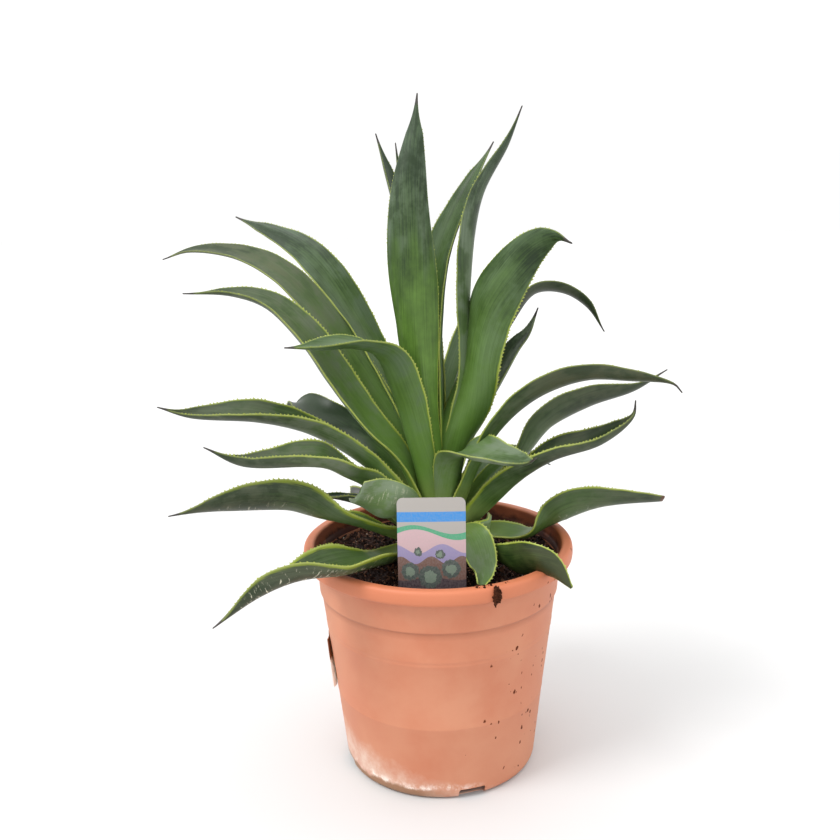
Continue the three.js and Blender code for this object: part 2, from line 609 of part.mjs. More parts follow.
const terracotta = new THREE.MeshStandardMaterial({ color: 0xdd9474, roughness: 0.75, metalness: 0 });
const peat = new THREE.MeshStandardMaterial({ color: 0x2a1712, roughness: 1, metalness: 0 });
const leafGreen = new THREE.MeshStandardMaterial({ color: 0x4f7040, roughness: 0.5, metalness: 0 });
const spearGreen = new THREE.MeshStandardMaterial({ color: 0x6c8a72, roughness: 0.5, metalness: 0 });
const stemGreen = new THREE.MeshStandardMaterial({ color: 0x8c9a62, roughness: 0.7, metalness: 0 });
const greyCard = new THREE.MeshStandardMaterial({ color: 0xb9b3ae, roughness: 0.4, metalness: 0 });
const whitePaper = new THREE.MeshStandardMaterial({ color: 0xe8e2d6, roughness: 0.7, metalness: 0 });

add("pot", makePot(), terracotta);
add("soil", makeSoil(makeStem(GAP), makeLabel(GAP)), peat);
add("stem", makeStem(), stemGreen);
add("spear", makeSpear(), spearGreen);

const taken = [makeStem(GAP), makeSpear(GAP), swollenPot(GAP), swollenPot(-GAP)];
for (const leaf of LEAVES) {
  const frames = leafFrames(leaf);
  const solid = taken.reduce((rest, neighbour) => rest.subtract(neighbour), toothedLeaf(leaf, frames));
  add("leaf_" + leaf.name, largestBody(solid), leafGreen);
  taken.push(toothedLeaf(leaf, frames, GAP));
}

add("label", makeLabel(), greyCard);
add("sticker", makeSticker(), whitePaper);
add("rim_soil_clump", makeClump(swollenPot(GAP)), peat);

export default part;
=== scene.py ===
import math
import random
import bmesh
import bpy
import numpy as np
from mathutils import Matrix, Vector, noise


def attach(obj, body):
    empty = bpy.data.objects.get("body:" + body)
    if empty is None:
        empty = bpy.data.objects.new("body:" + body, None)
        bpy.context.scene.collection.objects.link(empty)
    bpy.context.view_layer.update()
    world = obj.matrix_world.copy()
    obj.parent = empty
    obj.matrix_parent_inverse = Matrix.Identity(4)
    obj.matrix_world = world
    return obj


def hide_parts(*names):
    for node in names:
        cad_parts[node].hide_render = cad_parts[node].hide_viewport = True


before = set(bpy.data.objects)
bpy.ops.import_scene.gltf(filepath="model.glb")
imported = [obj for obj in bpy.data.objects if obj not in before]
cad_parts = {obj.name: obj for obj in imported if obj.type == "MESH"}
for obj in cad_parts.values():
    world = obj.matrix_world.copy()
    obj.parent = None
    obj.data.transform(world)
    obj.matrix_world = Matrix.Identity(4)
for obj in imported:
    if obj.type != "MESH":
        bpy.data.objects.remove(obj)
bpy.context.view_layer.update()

# Camera: a normal lens held at a grown-up's waist height over a low table, 0.85 m from the
# pot, looking down 14 degrees. Distances are in metres, angles in radians.
CAMERA_PLACE = Vector((0, -0.8515, 0.529))
CAMERA_PITCH = 0.2447
CAMERA_PAN = -0.0163
CAMERA_ROLL = -0.0189
CAMERA_LENS = 43.26

ahead = Vector((
    math.sin(CAMERA_PAN) * math.cos(CAMERA_PITCH),
    math.cos(CAMERA_PAN) * math.cos(CAMERA_PITCH),
    -math.sin(CAMERA_PITCH),
))
level = ahead.cross(Vector((0, 0, 1))).normalized()
over = level.cross(ahead)
to_right = level * math.cos(CAMERA_ROLL) + over * math.sin(CAMERA_ROLL)
to_top = over * math.cos(CAMERA_ROLL) - level * math.sin(CAMERA_ROLL)


def new_object(name, data):
    """An object of this data, in the scene."""
    made = bpy.data.objects.new(name, data)
    bpy.context.scene.collection.objects.link(made)
    return made


camera = new_object("camera", bpy.data.cameras.new("camera"))
turn = Matrix((to_right, to_top, -ahead)).transposed().to_4x4()
camera.matrix_world = Matrix.Translation(CAMERA_PLACE) @ turn
camera.data.lens = CAMERA_LENS
camera.data.sensor_width = 36
bpy.context.scene.camera = camera

# Studio: a wide pale floor under a white sky that is brighter overhead, as softboxes make it.
# A distant soft lamp stands high at the left, a little in front: its shadow falls right and back.
FLOOR_COLOUR = "#cccccc"
FLOOR_HALF = 7000
SKY_COLOUR = "#ffffff"
SKY_STRENGTH = 1.01
SKY_OVERHEAD = 1.7
LAMP_PLACE = (-1.3, -0.8, 2.2)
LAMP_STRENGTH = 1.75
LAMP_SPREAD_DEGREES = 22


def linear(colour):
    """The four linear values of an sRGB colour such as #aabbcc."""
    parts = [int(colour[i : i + 2], 16) / 255 for i in (1, 3, 5)]
    return [p / 12.92 if p <= 0.04045 else ((p + 0.055) / 1.055) ** 2.4 for p in parts] + [1]


def plug(node, inputs):
    """Sets inputs, by name or in a row. A node given there means its first live output."""
    for key, value in inputs.items() if isinstance(inputs, dict) else enumerate(inputs):
        if isinstance(value, bpy.types.Node):
            value = next(output for output in value.outputs if output.enabled)
        if isinstance(value, bpy.types.NodeSocket):
            node.id_data.links.new(value, node.inputs[key])
        elif isinstance(value, str) and value.startswith("#"):
            node.inputs[key].default_value = linear(value)
        else:
            node.inputs[key].default_value = value


def add(tree, kind, inputs=(), **settings):
    """A node with its settings and inputs: a shader node, unless its kind says otherwise."""
    made = tree.nodes.new(kind if "Node" in kind else "ShaderNode" + kind)
    for name, value in settings.items():
        setattr(made, name, value)
    plug(made, inputs)
    return made


def new_material(name, inputs):
    """A material, its node tree and its shader. The inputs are the shader's own."""
    made = bpy.data.materials.new(name)
    made.use_nodes = True
    tree = made.node_tree
    tree.nodes.clear()
    shader = add(tree, "BsdfPrincipled", inputs)
    add(tree, "OutputMaterial", {"Surface": shader})
    return made, tree, shader


def new_piece(name, points, faces, material):
    """A mesh object at the origin, from points in millimetres."""
    mesh = bpy.data.meshes.new(name)
    mesh.from_pydata([tuple(c / 1000 for c in p) for p in points], [], faces)
    mesh.validate()
    mesh.polygons.foreach_set("use_smooth", [True] * len(mesh.polygons))
    mesh.materials.append(material)
    return new_object(name, mesh)


floor_paint, _, _ = new_material("matt studio paint", {"Base Color": FLOOR_COLOUR, "Roughness": 0.9})
corners = [(x * FLOOR_HALF, y * FLOOR_HALF, 0) for x, y in ((-1, -1), (1, -1), (1, 1), (-1, 1))]
floor = new_piece("studio_floor", corners, [(0, 1, 2, 3)], floor_paint)

world = bpy.data.worlds.new("white sky")
world.use_nodes = True
tree = world.node_tree
tree.nodes.clear()
skyward = add(tree, "SeparateXYZ", (add(tree, "TexCoord").outputs["Generated"],))
brightness = add(tree, "MapRange", (skyward.outputs[2], 0, 1, SKY_STRENGTH, SKY_OVERHEAD))
background = add(tree, "Background", (SKY_COLOUR, brightness))
add(tree, "OutputWorld", (background,))
bpy.context.scene.world = world
bpy.context.scene.view_settings.view_transform = "Standard"
lamp = new_object("distant soft lamp", bpy.data.lights.new("distant soft lamp", "SUN"))
lamp.data.energy = LAMP_STRENGTH
lamp.data.angle = math.radians(LAMP_SPREAD_DEGREES)
lamp.location = LAMP_PLACE
lamp.rotation_euler = (Vector((0, 0, 0.25)) - Vector(LAMP_PLACE)).to_track_quat("-Z", "Y").to_euler()

# Pot: an injection-moulded shell of terracotta-coloured polypropylene, with a rolled rim, a
# stepped neck, faint mould lines and drain slots where the wall meets the base. Millimetres.
RIM_RADIUS = 120
RIM_INNER_RADIUS = 110
RIM_BOTTOM = 193.5
POT_HEIGHT = 207
NECK_RADIUS = 108.5
NECK_BOTTOM = 165.5
SHOULDER_RADIUS = 105
BASE_RADIUS = 86.4
BASE_CORNER = 7
POT_WALL = 1.8
POT_FLOOR = 2.5
POT_SIDES = 192
MOULD_LINES = (71, 133, 137)
MOULD_LINE_HEIGHT = 0.25
DRAIN_SLOTS = 4
DRAIN_FIRST_AZIMUTH = 288
DRAIN_WIDTH = 24
DRAIN_HEIGHT = 9


def turned(profile, sides):
    """Points and faces of a profile of [radius, height], from axis to axis, turned about Z."""
    points = [(0, 0, profile[0][1])]
    for radius, height in profile[1:-1]:
        for k in range(sides):
            a = 2 * math.pi * k / sides
            points.append((radius * math.cos(a), radius * math.sin(a), height))
    points.append((0, 0, profile[-1][1]))
    rings = len(profile) - 2
    last = len(points) - 1
    faces = []
    for k in range(sides):
        after = (k + 1) % sides
        faces.append((0, 1 + after, 1 + k))
        for ring in range(rings - 1):
            a, b = 1 + ring * sides, 1 + (ring + 1) * sides
            faces.append((a + k, a + after, b + after, b + k))
        a = 1 + (rings - 1) * sides
        faces.append((a + k, a + after, last))
    return points, faces


def outer_radius(height):
    """Radius of the tapered wall outside, between the base corner and the neck."""
    share = (height - BASE_CORNER) / (NECK_BOTTOM - 2 - BASE_CORNER)
    return BASE_RADIUS + share * (SHOULDER_RADIUS - BASE_RADIUS)


def filleted(corners):
    """A profile with each corner of [x, y, fillet] rounded by an arc of about that size."""
    made = []
    for i, (x, y, fillet) in enumerate(corners):
        here = Vector((x, y))
        if fillet == 0:
            made.append((x, y))
            continue
        before = Vector(corners[i - 1][:2]) - here
        after = Vector(corners[i + 1][:2]) - here
        reach = min(fillet, before.length * 0.48, after.length * 0.48)
        start, end = here + before.normalized() * reach, here + after.normalized() * reach
        for step in range(6):
            t = step / 5
            point = start * (1 - t) ** 2 + here * (2 * t * (1 - t)) + end * t**2
            made.append((point.x, point.y))
    return made


corners = [(0, 0, 0), (BASE_RADIUS, 0, BASE_CORNER)]
for height in MOULD_LINES:
    radius = outer_radius(height)
    corners += [
        (radius - 0.1, height - 0.9, 0),
        (radius + MOULD_LINE_HEIGHT, height, 0),
        (radius + 0.1, height + 0.9, 0),
    ]
corners += [
    (SHOULDER_RADIUS, NECK_BOTTOM - 2, 0.8),
    (SHOULDER_RADIUS + 1.6, NECK_BOTTOM, 1.2),
    (NECK_RADIUS, RIM_BOTTOM, 3),
    (RIM_RADIUS - 1, RIM_BOTTOM, 3),
    (RIM_RADIUS, (RIM_BOTTOM + POT_HEIGHT) / 2, 6),
    (RIM_RADIUS - 1.2, POT_HEIGHT, 5),
    (RIM_INNER_RADIUS, POT_HEIGHT, 3),
    (RIM_INNER_RADIUS - 1.5, RIM_BOTTOM + 2, 1),
    (NECK_RADIUS - POT_WALL, RIM_BOTTOM, 0),
    (SHOULDER_RADIUS - 0.4, NECK_BOTTOM - 3, 0),
    (BASE_RADIUS - POT_WALL, BASE_CORNER + 3, 0),
    (BASE_RADIUS - BASE_CORNER, POT_FLOOR, 0),
    (0, POT_FLOOR, 0),
]

# Polypropylene pot: opaque and matt, with a very fine moulded grain that softens highlights.
# Handling leaves it chalky in patches, hard water leaves a pale crust low down, and splashed
# soil dries on it in specks.
# The inside colour is painted shade, for the wall inside the pot above the soil
POT_COLOURS = {"body": "#c07656", "chalky": "#c88768", "rim": "#c5714c", "inside": "#a0522f"}
CRUST_COLOUR = "#e2cdbd"
CRUST_DIRT = "#8a6242"
SPLASH_COLOUR = "#4f1d0b"
CRUST_LIME = "#f3e6dc"
# Painted shade: the colour of the step's shadow under the neck
STEP_SHADE = "#9a5a3e"
# Painted shade: the grey of the drain slots' shaded insides
SLOT_SHADE = "#4c4644"
POT_GRAIN_MM = 0.5
CHALK_PATCH_MM = 60
SOIL_AGAINST_WALL = 190.4
polypropylene, tree, shader = new_material("moulded polypropylene", {"IOR": 1.49})
place = add(tree, "TexCoord").outputs["Object"]
x, y, height = add(tree, "SeparateXYZ", (place,)).outputs
radius = add(tree, "VectorMath", (add(tree, "CombineXYZ", (x, y)),), operation="LENGTH")
patches = add(tree, "TexNoise", {
    "Vector": place, "Scale": 1000 / CHALK_PATCH_MM, "Detail": 6, "Roughness": 0.55,
})
# A MapRange has the value, the range that it comes from and the range that it goes to
chalky = add(tree, "MapRange", (patches, 0.36, 0.64))
on_rim = add(tree, "MapRange", (height, (RIM_BOTTOM - 4) / 1000, (RIM_BOTTOM + 1) / 1000))
# Painted shade: the corner under the neck's step is darkened where the step's shadow falls
under_step = add(tree, "MapRange", (height, (NECK_BOTTOM - 8) / 1000, (NECK_BOTTOM - 1.8) / 1000))
not_above = add(tree, "MapRange", (height, (NECK_BOTTOM + 0.5) / 1000, (NECK_BOTTOM - 0.8) / 1000))
painted_step_shade = add(tree, "Math", (under_step, not_above), operation="MULTIPLY")
# Crust: below a line that falls from left to right across the front, broken up by noise
ragged = add(tree, "TexNoise", {"Vector": place, "Scale": 55, "Detail": 5, "Roughness": 0.7})
blotches = add(tree, "TexNoise", {
    "Vector": add(tree, "Mapping", {"Vector": place, "Scale": (1, 1, 0.8)}),
    "Scale": 70, "Detail": 7, "Roughness": 0.75,
})
slope = add(tree, "Math", (x, 0.34, height), operation="MULTIPLY_ADD")
slope = add(tree, "Math", (ragged, -0.030, slope), operation="MULTIPLY_ADD")
low = add(tree, "MapRange", (slope, 0.006, -0.018))
front = add(tree, "MapRange", (y, -0.010, -0.030))
haze = add(tree, "Math", (low, front), operation="MULTIPLY")
blotchy = add(tree, "MapRange", (blotches, 0.38, 0.62, 0.3, 0.75))
haze = add(tree, "Math", (haze, blotchy), operation="MULTIPLY")
# Dirt: a brown tide line at the very foot, on the left
tide = add(tree, "Math", (ragged, -0.012, height), operation="MULTIPLY_ADD")
below_tide = add(tree, "MapRange", (tide, 0.0052, 0.0022))
leftward = add(tree, "MapRange", (x, 0.012, -0.020))
grubby = add(tree, "Math", (below_tide, leftward), operation="MULTIPLY")
# Lime: a whiter, broken line just above the dirt
lime = add(tree, "MapRange", (tide, 0.0028, 0.0048))
under_haze = add(tree, "MapRange", (tide, 0.0100, 0.0055))
speckled = add(tree, "MapRange", (blotches, 0.50, 0.60, 0, 0.8))
limy = add(tree, "MapRange", (x, 0.040, 0.010))
for share in (under_haze, speckled, limy, front):
    lime = add(tree, "Math", (lime, share), operation="MULTIPLY")
# Painted shade: the inner faces of the drain slots are darkened to a grey, as deep shade would make them
slot_corner = ((BASE_RADIUS - BASE_CORNER) / 1000, BASE_CORNER / 1000, 0)
profile_place = add(tree, "CombineXYZ", (radius, height))
to_slot = add(tree, "VectorMath", (profile_place, slot_corner), operation="DISTANCE")
painted_slot_shade = add(tree, "MapRange", (to_slot, 0.0066, 0.0056, 0, 0.8))
# Splashes: small dark specks in loose groups on the right of the front, few elsewhere
spots = add(tree, "TexVoronoi", {
    "Vector": add(tree, "Mapping", {"Vector": place, "Scale": (1, 1, 0.72)}),
    "Scale": 190, "Randomness": 1,
})
uneven = add(tree, "TexNoise", {"Vector": place, "Scale": 900, "Detail": 2})
spot_reach = add(tree, "Math", (uneven, 0.3, spots), operation="MULTIPLY_ADD")
spot_chance, spot_size, _ = add(tree, "SeparateColor", (spots.outputs["Color"],)).outputs
thick = add(tree, "MapRange", (x, 0.030, 0.055, 0.003, 0.55))
groups = add(tree, "TexNoise", {"Vector": place, "Scale": 48, "Detail": 1})
grouped = add(tree, "MapRange", (groups, 0.52, 0.62, 0.04, 1))
thick = add(tree, "Math", (thick, grouped), operation="MULTIPLY")
chosen = add(tree, "Math", (spot_chance, thick), operation="LESS_THAN")
spot_radius = add(tree, "Math", (spot_size, 0.24, 0.24), operation="MULTIPLY_ADD")
inside_spot = add(tree, "Math", (spot_reach, spot_radius), operation="LESS_THAN")
speck = add(tree, "Math", (chosen, inside_spot), operation="MULTIPLY")
speck = add(tree, "Math", (speck, front), operation="MULTIPLY")
# Inside, above the soil, the wall is darkened with painted shade and smeared with soil
painted_inside_shade = add(tree, "MapRange", (
    radius, (RIM_INNER_RADIUS + 0.4) / 1000, (RIM_INNER_RADIUS - 0.2) / 1000,
))
above_soil = add(tree, "Math", (height, SOIL_AGAINST_WALL / 1000), operation="GREATER_THAN")
painted_inside_shade = add(tree, "Math", (painted_inside_shade, above_soil), operation="MULTIPLY")
smear_line = add(tree, "Math", (ragged, 0.022, 0.186), operation="MULTIPLY_ADD")
smeared = add(tree, "Math", (smear_line, height), operation="SUBTRACT")
smeared = add(tree, "MapRange", (smeared, -0.003, 0.003))
smear = add(tree, "Math", (smeared, painted_inside_shade), operation="MULTIPLY")
# The coats and painted shades in their order: where each lies, how much it covers and its colour
skin = POT_COLOURS["body"]
for share, cover, colour in (
    (chalky, 1, POT_COLOURS["chalky"]), (on_rim, 0.75, POT_COLOURS["rim"]),
    (painted_step_shade, 0.5, STEP_SHADE), (haze, 1, CRUST_COLOUR), (grubby, 0.9, CRUST_DIRT),
    (lime, 1, CRUST_LIME), (painted_slot_shade, 1, SLOT_SHADE), (speck, 0.9, SPLASH_COLOUR),
    (painted_inside_shade, 0.8, POT_COLOURS["inside"]), (smear, 1, SPLASH_COLOUR),
):
    covered = add(tree, "Math", (share, cover), operation="MULTIPLY")
    skin = add(tree, "Mix", {0: covered, 6: skin, 7: colour}, data_type="RGBA")
grain = add(tree, "TexNoise", {"Vector": place, "Scale": 1000 / POT_GRAIN_MM, "Detail": 2})
relief = add(tree, "Math", (haze, 0.6, grain), operation="MULTIPLY_ADD")
plug(shader, {
    "Base Color": skin,
    "Roughness": add(tree, "MapRange", {0: chalky, 3: 0.48, 4: 0.68}),
    "Normal": add(tree, "Bump", {"Height": relief, "Strength": 0.25, "Distance": 0.0002}),
    "Specular IOR Level": add(tree, "MapRange", {0: speck, 3: 0.5, 4: 0.05}),
})

points, faces = turned(filleted(corners), POT_SIDES)
pot = new_piece("moulded_pot", points, faces, polypropylene)
cutters = bmesh.new()
for k in range(DRAIN_SLOTS):
    azimuth = math.radians(DRAIN_FIRST_AZIMUTH + k * 360 / DRAIN_SLOTS)
    out = (BASE_RADIUS + BASE_CORNER) / 1000
    size = Matrix.Diagonal((4 * BASE_CORNER / 1000, DRAIN_WIDTH / 1000, 2 * DRAIN_HEIGHT / 1000, 1))
    stand = Matrix.Rotation(azimuth, 4, "Z") @ Matrix.Translation((out, 0, 0)) @ size
    bmesh.ops.create_cube(cutters, size=1, matrix=stand)
bmesh.ops.bevel(
    cutters, geom=cutters.edges[:], offset=0.002, segments=3, affect="EDGES", profile=0.5,
)
cutter_mesh = bpy.data.meshes.new("drain slots")
cutters.to_mesh(cutter_mesh)
cutters.free()
cutter = new_object("drain slots", cutter_mesh)
cut = pot.modifiers.new("drain slots", "BOOLEAN")
cut.operation = "DIFFERENCE"
cut.solver = "EXACT"
cut.object = cutter
shown = pot.evaluated_get(bpy.context.evaluated_depsgraph_get())
slotted = bpy.data.meshes.new_from_object(shown)
pot.modifiers.clear()
pot.data = slotted
bpy.data.objects.remove(cutter)
pot.data.set_sharp_from_angle(angle=math.radians(50))
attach(pot, "root")
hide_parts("pot")

# Soil: peaty potting mix with bark chips and white perlite, filled to 17 mm under the rim and
# heaped a little round the stem. A fine closed body carries loose crumbs, chips and perlite.
SOIL_TOP = 190
SOIL_LUMP = 1.4
SOIL_MOUND = 5
SOIL_MOUND_REACH = 45
SOIL_EDGE = 106
SOIL_RINGS = 46
SOIL_SIDES = 160


def lump_height(x, y):
    """Height of the soil above its level: the heap, lumps as in the solid, and finer ones."""
    mound = SOIL_MOUND * math.exp(-(x * x + y * y) / SOIL_MOUND_REACH**2)
    wide = math.sin(x / 9 + 1) * math.cos(y / 11)
    narrow = 0.6 * math.sin((x + y) / 5.5)
    crumbly = 1.3 * noise.noise((x / 5, y / 5, 0)) + 0.8 * noise.noise((x / 2.2, y / 2.2, 7))
    return mound + SOIL_LUMP * (wide + narrow - 0.5) + crumbly


# Potting soil: damp, so it is dark and rough with a faint wet sheen on some grains
SOIL_COLOURS = {"dark": "#1d0e0a", "brown": "#4d2a1c", "dry": "#7a5540"}
SOIL_GRAIN_MM = 1.6
potting_soil, tree, shader = new_material("damp potting soil", {"Specular IOR Level": 0.25})
place = add(tree, "TexCoord").outputs["Object"]
grains = add(tree, "TexVoronoi", {"Vector": place, "Scale": 1000 / SOIL_GRAIN_MM})
clods = add(tree, "TexNoise", {"Vector": place, "Scale": 90, "Detail": 8, "Roughness": 0.75})
grain_dryness, grain_wetness, _ = add(tree, "SeparateColor", (grains.outputs["Color"],)).outputs
brown = add(tree, "MapRange", (clods, 0.45, 0.75))
dry = add(tree, "Math", (grain_dryness, 0.93), operation="GREATER_THAN")
earth = SOIL_COLOURS["dark"]
for share, colour in ((brown, "brown"), (dry, "dry")):
    earth = add(tree, "Mix", {0: share, 6: earth, 7: SOIL_COLOURS[colour]}, data_type="RGBA")
relief = add(tree, "Math", (grains, -1.5, clods), operation="MULTIPLY_ADD")
plug(shader, {
    "Base Color": earth,
    "Roughness": add(tree, "MapRange", {0: grain_wetness, 3: 0.55, 4: 0.95}),
    "Normal": add(tree, "Bump", {"Height": relief, "Strength": 0.8, "Distance": 0.0012}),
})

profile = [
    (0, POT_FLOOR + 0.3),
    (BASE_RADIUS - BASE_CORNER - 0.3, POT_FLOOR + 0.3),
    (BASE_RADIUS - POT_WALL - 0.3, BASE_CORNER + 3),
    (SHOULDER_RADIUS - 0.7, NECK_BOTTOM - 3),
    (SOIL_EDGE, SOIL_TOP - 3),
]
top_rings = [SOIL_EDGE * (1 - k / SOIL_RINGS) for k in range(SOIL_RINGS)]
profile += [(radius, SOIL_TOP) for radius in top_rings] + [(0, SOIL_TOP)]
points, faces = turned(profile, SOIL_SIDES)
points = [
    (x, y, z + lump_height(x, y)) if z > SOIL_TOP - 1 else (x, y, z) for x, y, z in points
]
soil = new_piece("potting_soil", points, faces, potting_soil)

# Perlite: popped volcanic glass, white, matt and crumbly. Bark: dull red-brown flakes.
LOOSE_MATERIALS = (
    # name, pattern's scale and detail, its two colours, roughness
    ("perlite", 1800, 2, "#d8d2c6", "#8f8377", 0.9),
    ("composted bark", 700, 4, "#2c1710", "#7c5136", 0.8),
)
loose_materials = []
for name, scale, detail, first, second, roughness in LOOSE_MATERIALS:
    material, tree, shader = new_material(name, {"Roughness": roughness})
    place = add(tree, "TexCoord").outputs["Object"]
    pattern = add(tree, "TexNoise", {"Vector": place, "Scale": scale, "Detail": detail})
    plug(shader, (add(tree, "Mix", {0: pattern, 6: first, 7: second}, data_type="RGBA"),))
    loose_materials.append(material)
perlite, bark = loose_materials


def new_tree(name, inputs):
    """A Geometry Nodes tree, its named inputs to link from, and its output node."""
    made = bpy.data.node_groups.new(name, "GeometryNodeTree")
    made.interface.new_socket("Geometry", in_out="INPUT", socket_type="NodeSocketGeometry")
    made.interface.new_socket("Geometry", in_out="OUTPUT", socket_type="NodeSocketGeometry")
    for label, kind in inputs:
        made.interface.new_socket(label, in_out="INPUT", socket_type="NodeSocket" + kind)
    return made, made.nodes.new("NodeGroupInput").outputs, made.nodes.new("NodeGroupOutput")


# Loose bits: rough grains scattered over faces, each stretched, turned and knocked out of round
loose_bits, given, result = new_tree("loose bits", [
    ("Per square metre", "Float"), ("Smallest", "Float"), ("Largest", "Float"),
    ("Stretch", "Float"), ("Knock", "Float"), ("Seed", "Int"), ("Material", "Material"),
])
scattered = add(loose_bits, "GeometryNodeDistributePointsOnFaces", {
    "Mesh": given["Geometry"], "Density": given["Per square metre"], "Seed": given["Seed"],
})
grain_shape = add(loose_bits, "GeometryNodeMeshIcoSphere", {"Radius": 1.0, "Subdivisions": 2})
any_turn = add(loose_bits, "FunctionNodeRandomValue", {
    1: (6.283, 6.283, 6.283), "Seed": given["Seed"],
}, data_type="FLOAT_VECTOR")
any_size = add(loose_bits, "FunctionNodeRandomValue", {
    2: given["Smallest"], 3: given["Largest"], "Seed": given["Seed"],
}, data_type="FLOAT")
proportions = add(loose_bits, "CombineXYZ", (given["Stretch"], 1.0, 0.6))
grain_size = add(loose_bits, "VectorMath", {0: proportions, "Scale": any_size}, operation="SCALE")
placed = add(loose_bits, "GeometryNodeInstanceOnPoints", {
    "Points": scattered, "Instance": grain_shape, "Rotation": any_turn, "Scale": grain_size,
})
real = add(loose_bits, "GeometryNodeRealizeInstances", {0: placed})
knocks = add(loose_bits, "TexNoise", {"Scale": 420.0, "Detail": 1.0})
centred = add(loose_bits, "VectorMath", (knocks.outputs["Color"], (0.5, 0.5, 0.5)), operation="SUBTRACT")
knocked = add(loose_bits, "VectorMath", {0: centred, "Scale": given["Knock"]}, operation="SCALE")
moved = add(loose_bits, "GeometryNodeSetPosition", {0: real, "Offset": knocked})
coated = add(loose_bits, "GeometryNodeSetMaterial", {0: moved, "Material": given["Material"]})
plug(result, (coated,))


def grown(name, carrier, tree, values):
    """What a tree makes on a carrier, as a plain piece of its own. The carrier is removed."""
    modifier = carrier.modifiers.new(name, "NODES")
    modifier.node_group = tree
    for item in tree.interface.items_tree:
        if item.name in values:
            modifier[item.identifier] = values[item.name]
    shown = carrier.evaluated_get(bpy.context.evaluated_depsgraph_get())
    made = new_object(name, bpy.data.meshes.new_from_object(shown))
    bpy.data.objects.remove(carrier)
    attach(made, "root")
    return made


SCATTER_EDGE = 0.103
SCATTER_STEM = 0.024
LOOSE_SOIL = (
    # name, material, grains in a square metre, smallest and largest in metres, stretch, seed
    ("soil_crumbs", potting_soil, 62000, 0.0007, 0.0024, 1.2, 4),
    ("soil_bark_chips", bark, 5200, 0.0009, 0.0024, 2.6, 9),
    ("soil_perlite", perlite, 3300, 0.0004, 0.0013, 1.1, 16),
)
for name, material, density, smallest, largest, stretch, seed in LOOSE_SOIL:
    carrier = new_object(name + " carrier", soil.data.copy())
    shape = bmesh.new()
    shape.from_mesh(carrier.data)
    unused = [
        face for face in shape.faces
        if face.calc_center_median().z < (SOIL_TOP - 6) / 1000
        or not SCATTER_STEM < face.calc_center_median().xy.length < SCATTER_EDGE
    ]
    bmesh.ops.delete(shape, geom=unused, context="FACES")
    shape.to_mesh(carrier.data)
    shape.free()
    bits = grown(name, carrier, loose_bits, {
        "Per square metre": density, "Smallest": smallest, "Largest": largest,
        "Stretch": stretch, "Knock": largest * 0.8, "Seed": seed, "Material": material,
    })
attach(soil, "root")
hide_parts("soil")

# Stem: short, thick and pale, ringed by the scars of old leaves. It stands in the soil, and
# every leaf clasps it.
STEM_PROFILE = ((14, 150), (22, 158), (24, 178), (23, 205), (18, 232), (12, 262), (8, 292), (5.5, 312))
STEM_SIDES = 72
STEM_STEP = 1.5
SCAR_SPACING = 7
SCAR_DEPTH = 0.7
STEM_COLOURS = {"flesh": "#8c9a62", "pale": "#b9b98a", "cork": "#6a4a33"}

profile = [(0, STEM_PROFILE[0][1])]
heights = [height for _, height in STEM_PROFILE]
count = int((heights[-1] - heights[0]) / STEM_STEP)
for k in range(count + 1):
    height = heights[0] + (heights[-1] - heights[0]) * k / count
    radius = float(np.interp(height, heights, [r for r, _ in STEM_PROFILE]))
    ring = SCAR_DEPTH * (0.5 + 0.5 * math.cos(2 * math.pi * height / SCAR_SPACING)) ** 3
    profile.append((radius - ring, height))
profile.append((0, heights[-1]))
# Succulent stem: pale green flesh under a thin skin, brown and corky along the leaf scars
stem_skin, tree, shader = new_material("fleshy stem skin", {"Roughness": 0.7})
place = add(tree, "TexCoord").outputs["Object"]
mottle = add(tree, "TexNoise", {"Vector": place, "Scale": 160, "Detail": 5})
up = add(tree, "SeparateXYZ", (place,)).outputs[2]
phase = add(tree, "Math", (up, 2000 * math.pi / SCAR_SPACING), operation="MULTIPLY")
ringed = add(tree, "Math", (phase,), operation="COSINE")
corky = add(tree, "Math", (ringed, mottle), operation="ADD")
corky = add(tree, "MapRange", (corky, 0.9, 1.5))
flesh = STEM_COLOURS["flesh"]
for share, colour in ((mottle, "pale"), (corky, "cork")):
    flesh = add(tree, "Mix", {0: share, 6: flesh, 7: STEM_COLOURS[colour]}, data_type="RGBA")
plug(shader, (flesh,))
points, faces = turned(profile, STEM_SIDES)
stem = new_piece("stem_core", points, faces, stem_skin)
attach(stem, "root")
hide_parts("stem")

# Leaves: thick, channelled blades up to 36 cm long, dark green with a blue-grey waxy bloom,
# a yellow margin and fine teeth. Each narrows to a hard spine, and all grow from the stem.
# Half widths and half thicknesses at equal steps from root to tip, as in the solids.
OUTLINE = (0.74, 0.64, 0.645, 0.76, 0.88, 0.975, 0.99, 0.89, 0.69, 0.39, 0.03)
MIDRIB_THICKNESS = (3.6, 3.2, 2.8, 2.4, 2.0, 1.4, 0.5)
MARGIN_THICKNESS = 0.6
LEAF_STEP = 3.0
LEAF_COLUMNS = 18
SPINE_NARROWING = 0.42
SPINE_REACH = 30
MARGIN_RIPPLE = 0.15
TOOTH_SPACING = 3.2
TOOTH_LENGTH = 2
TORN_DEPTH = 1.2

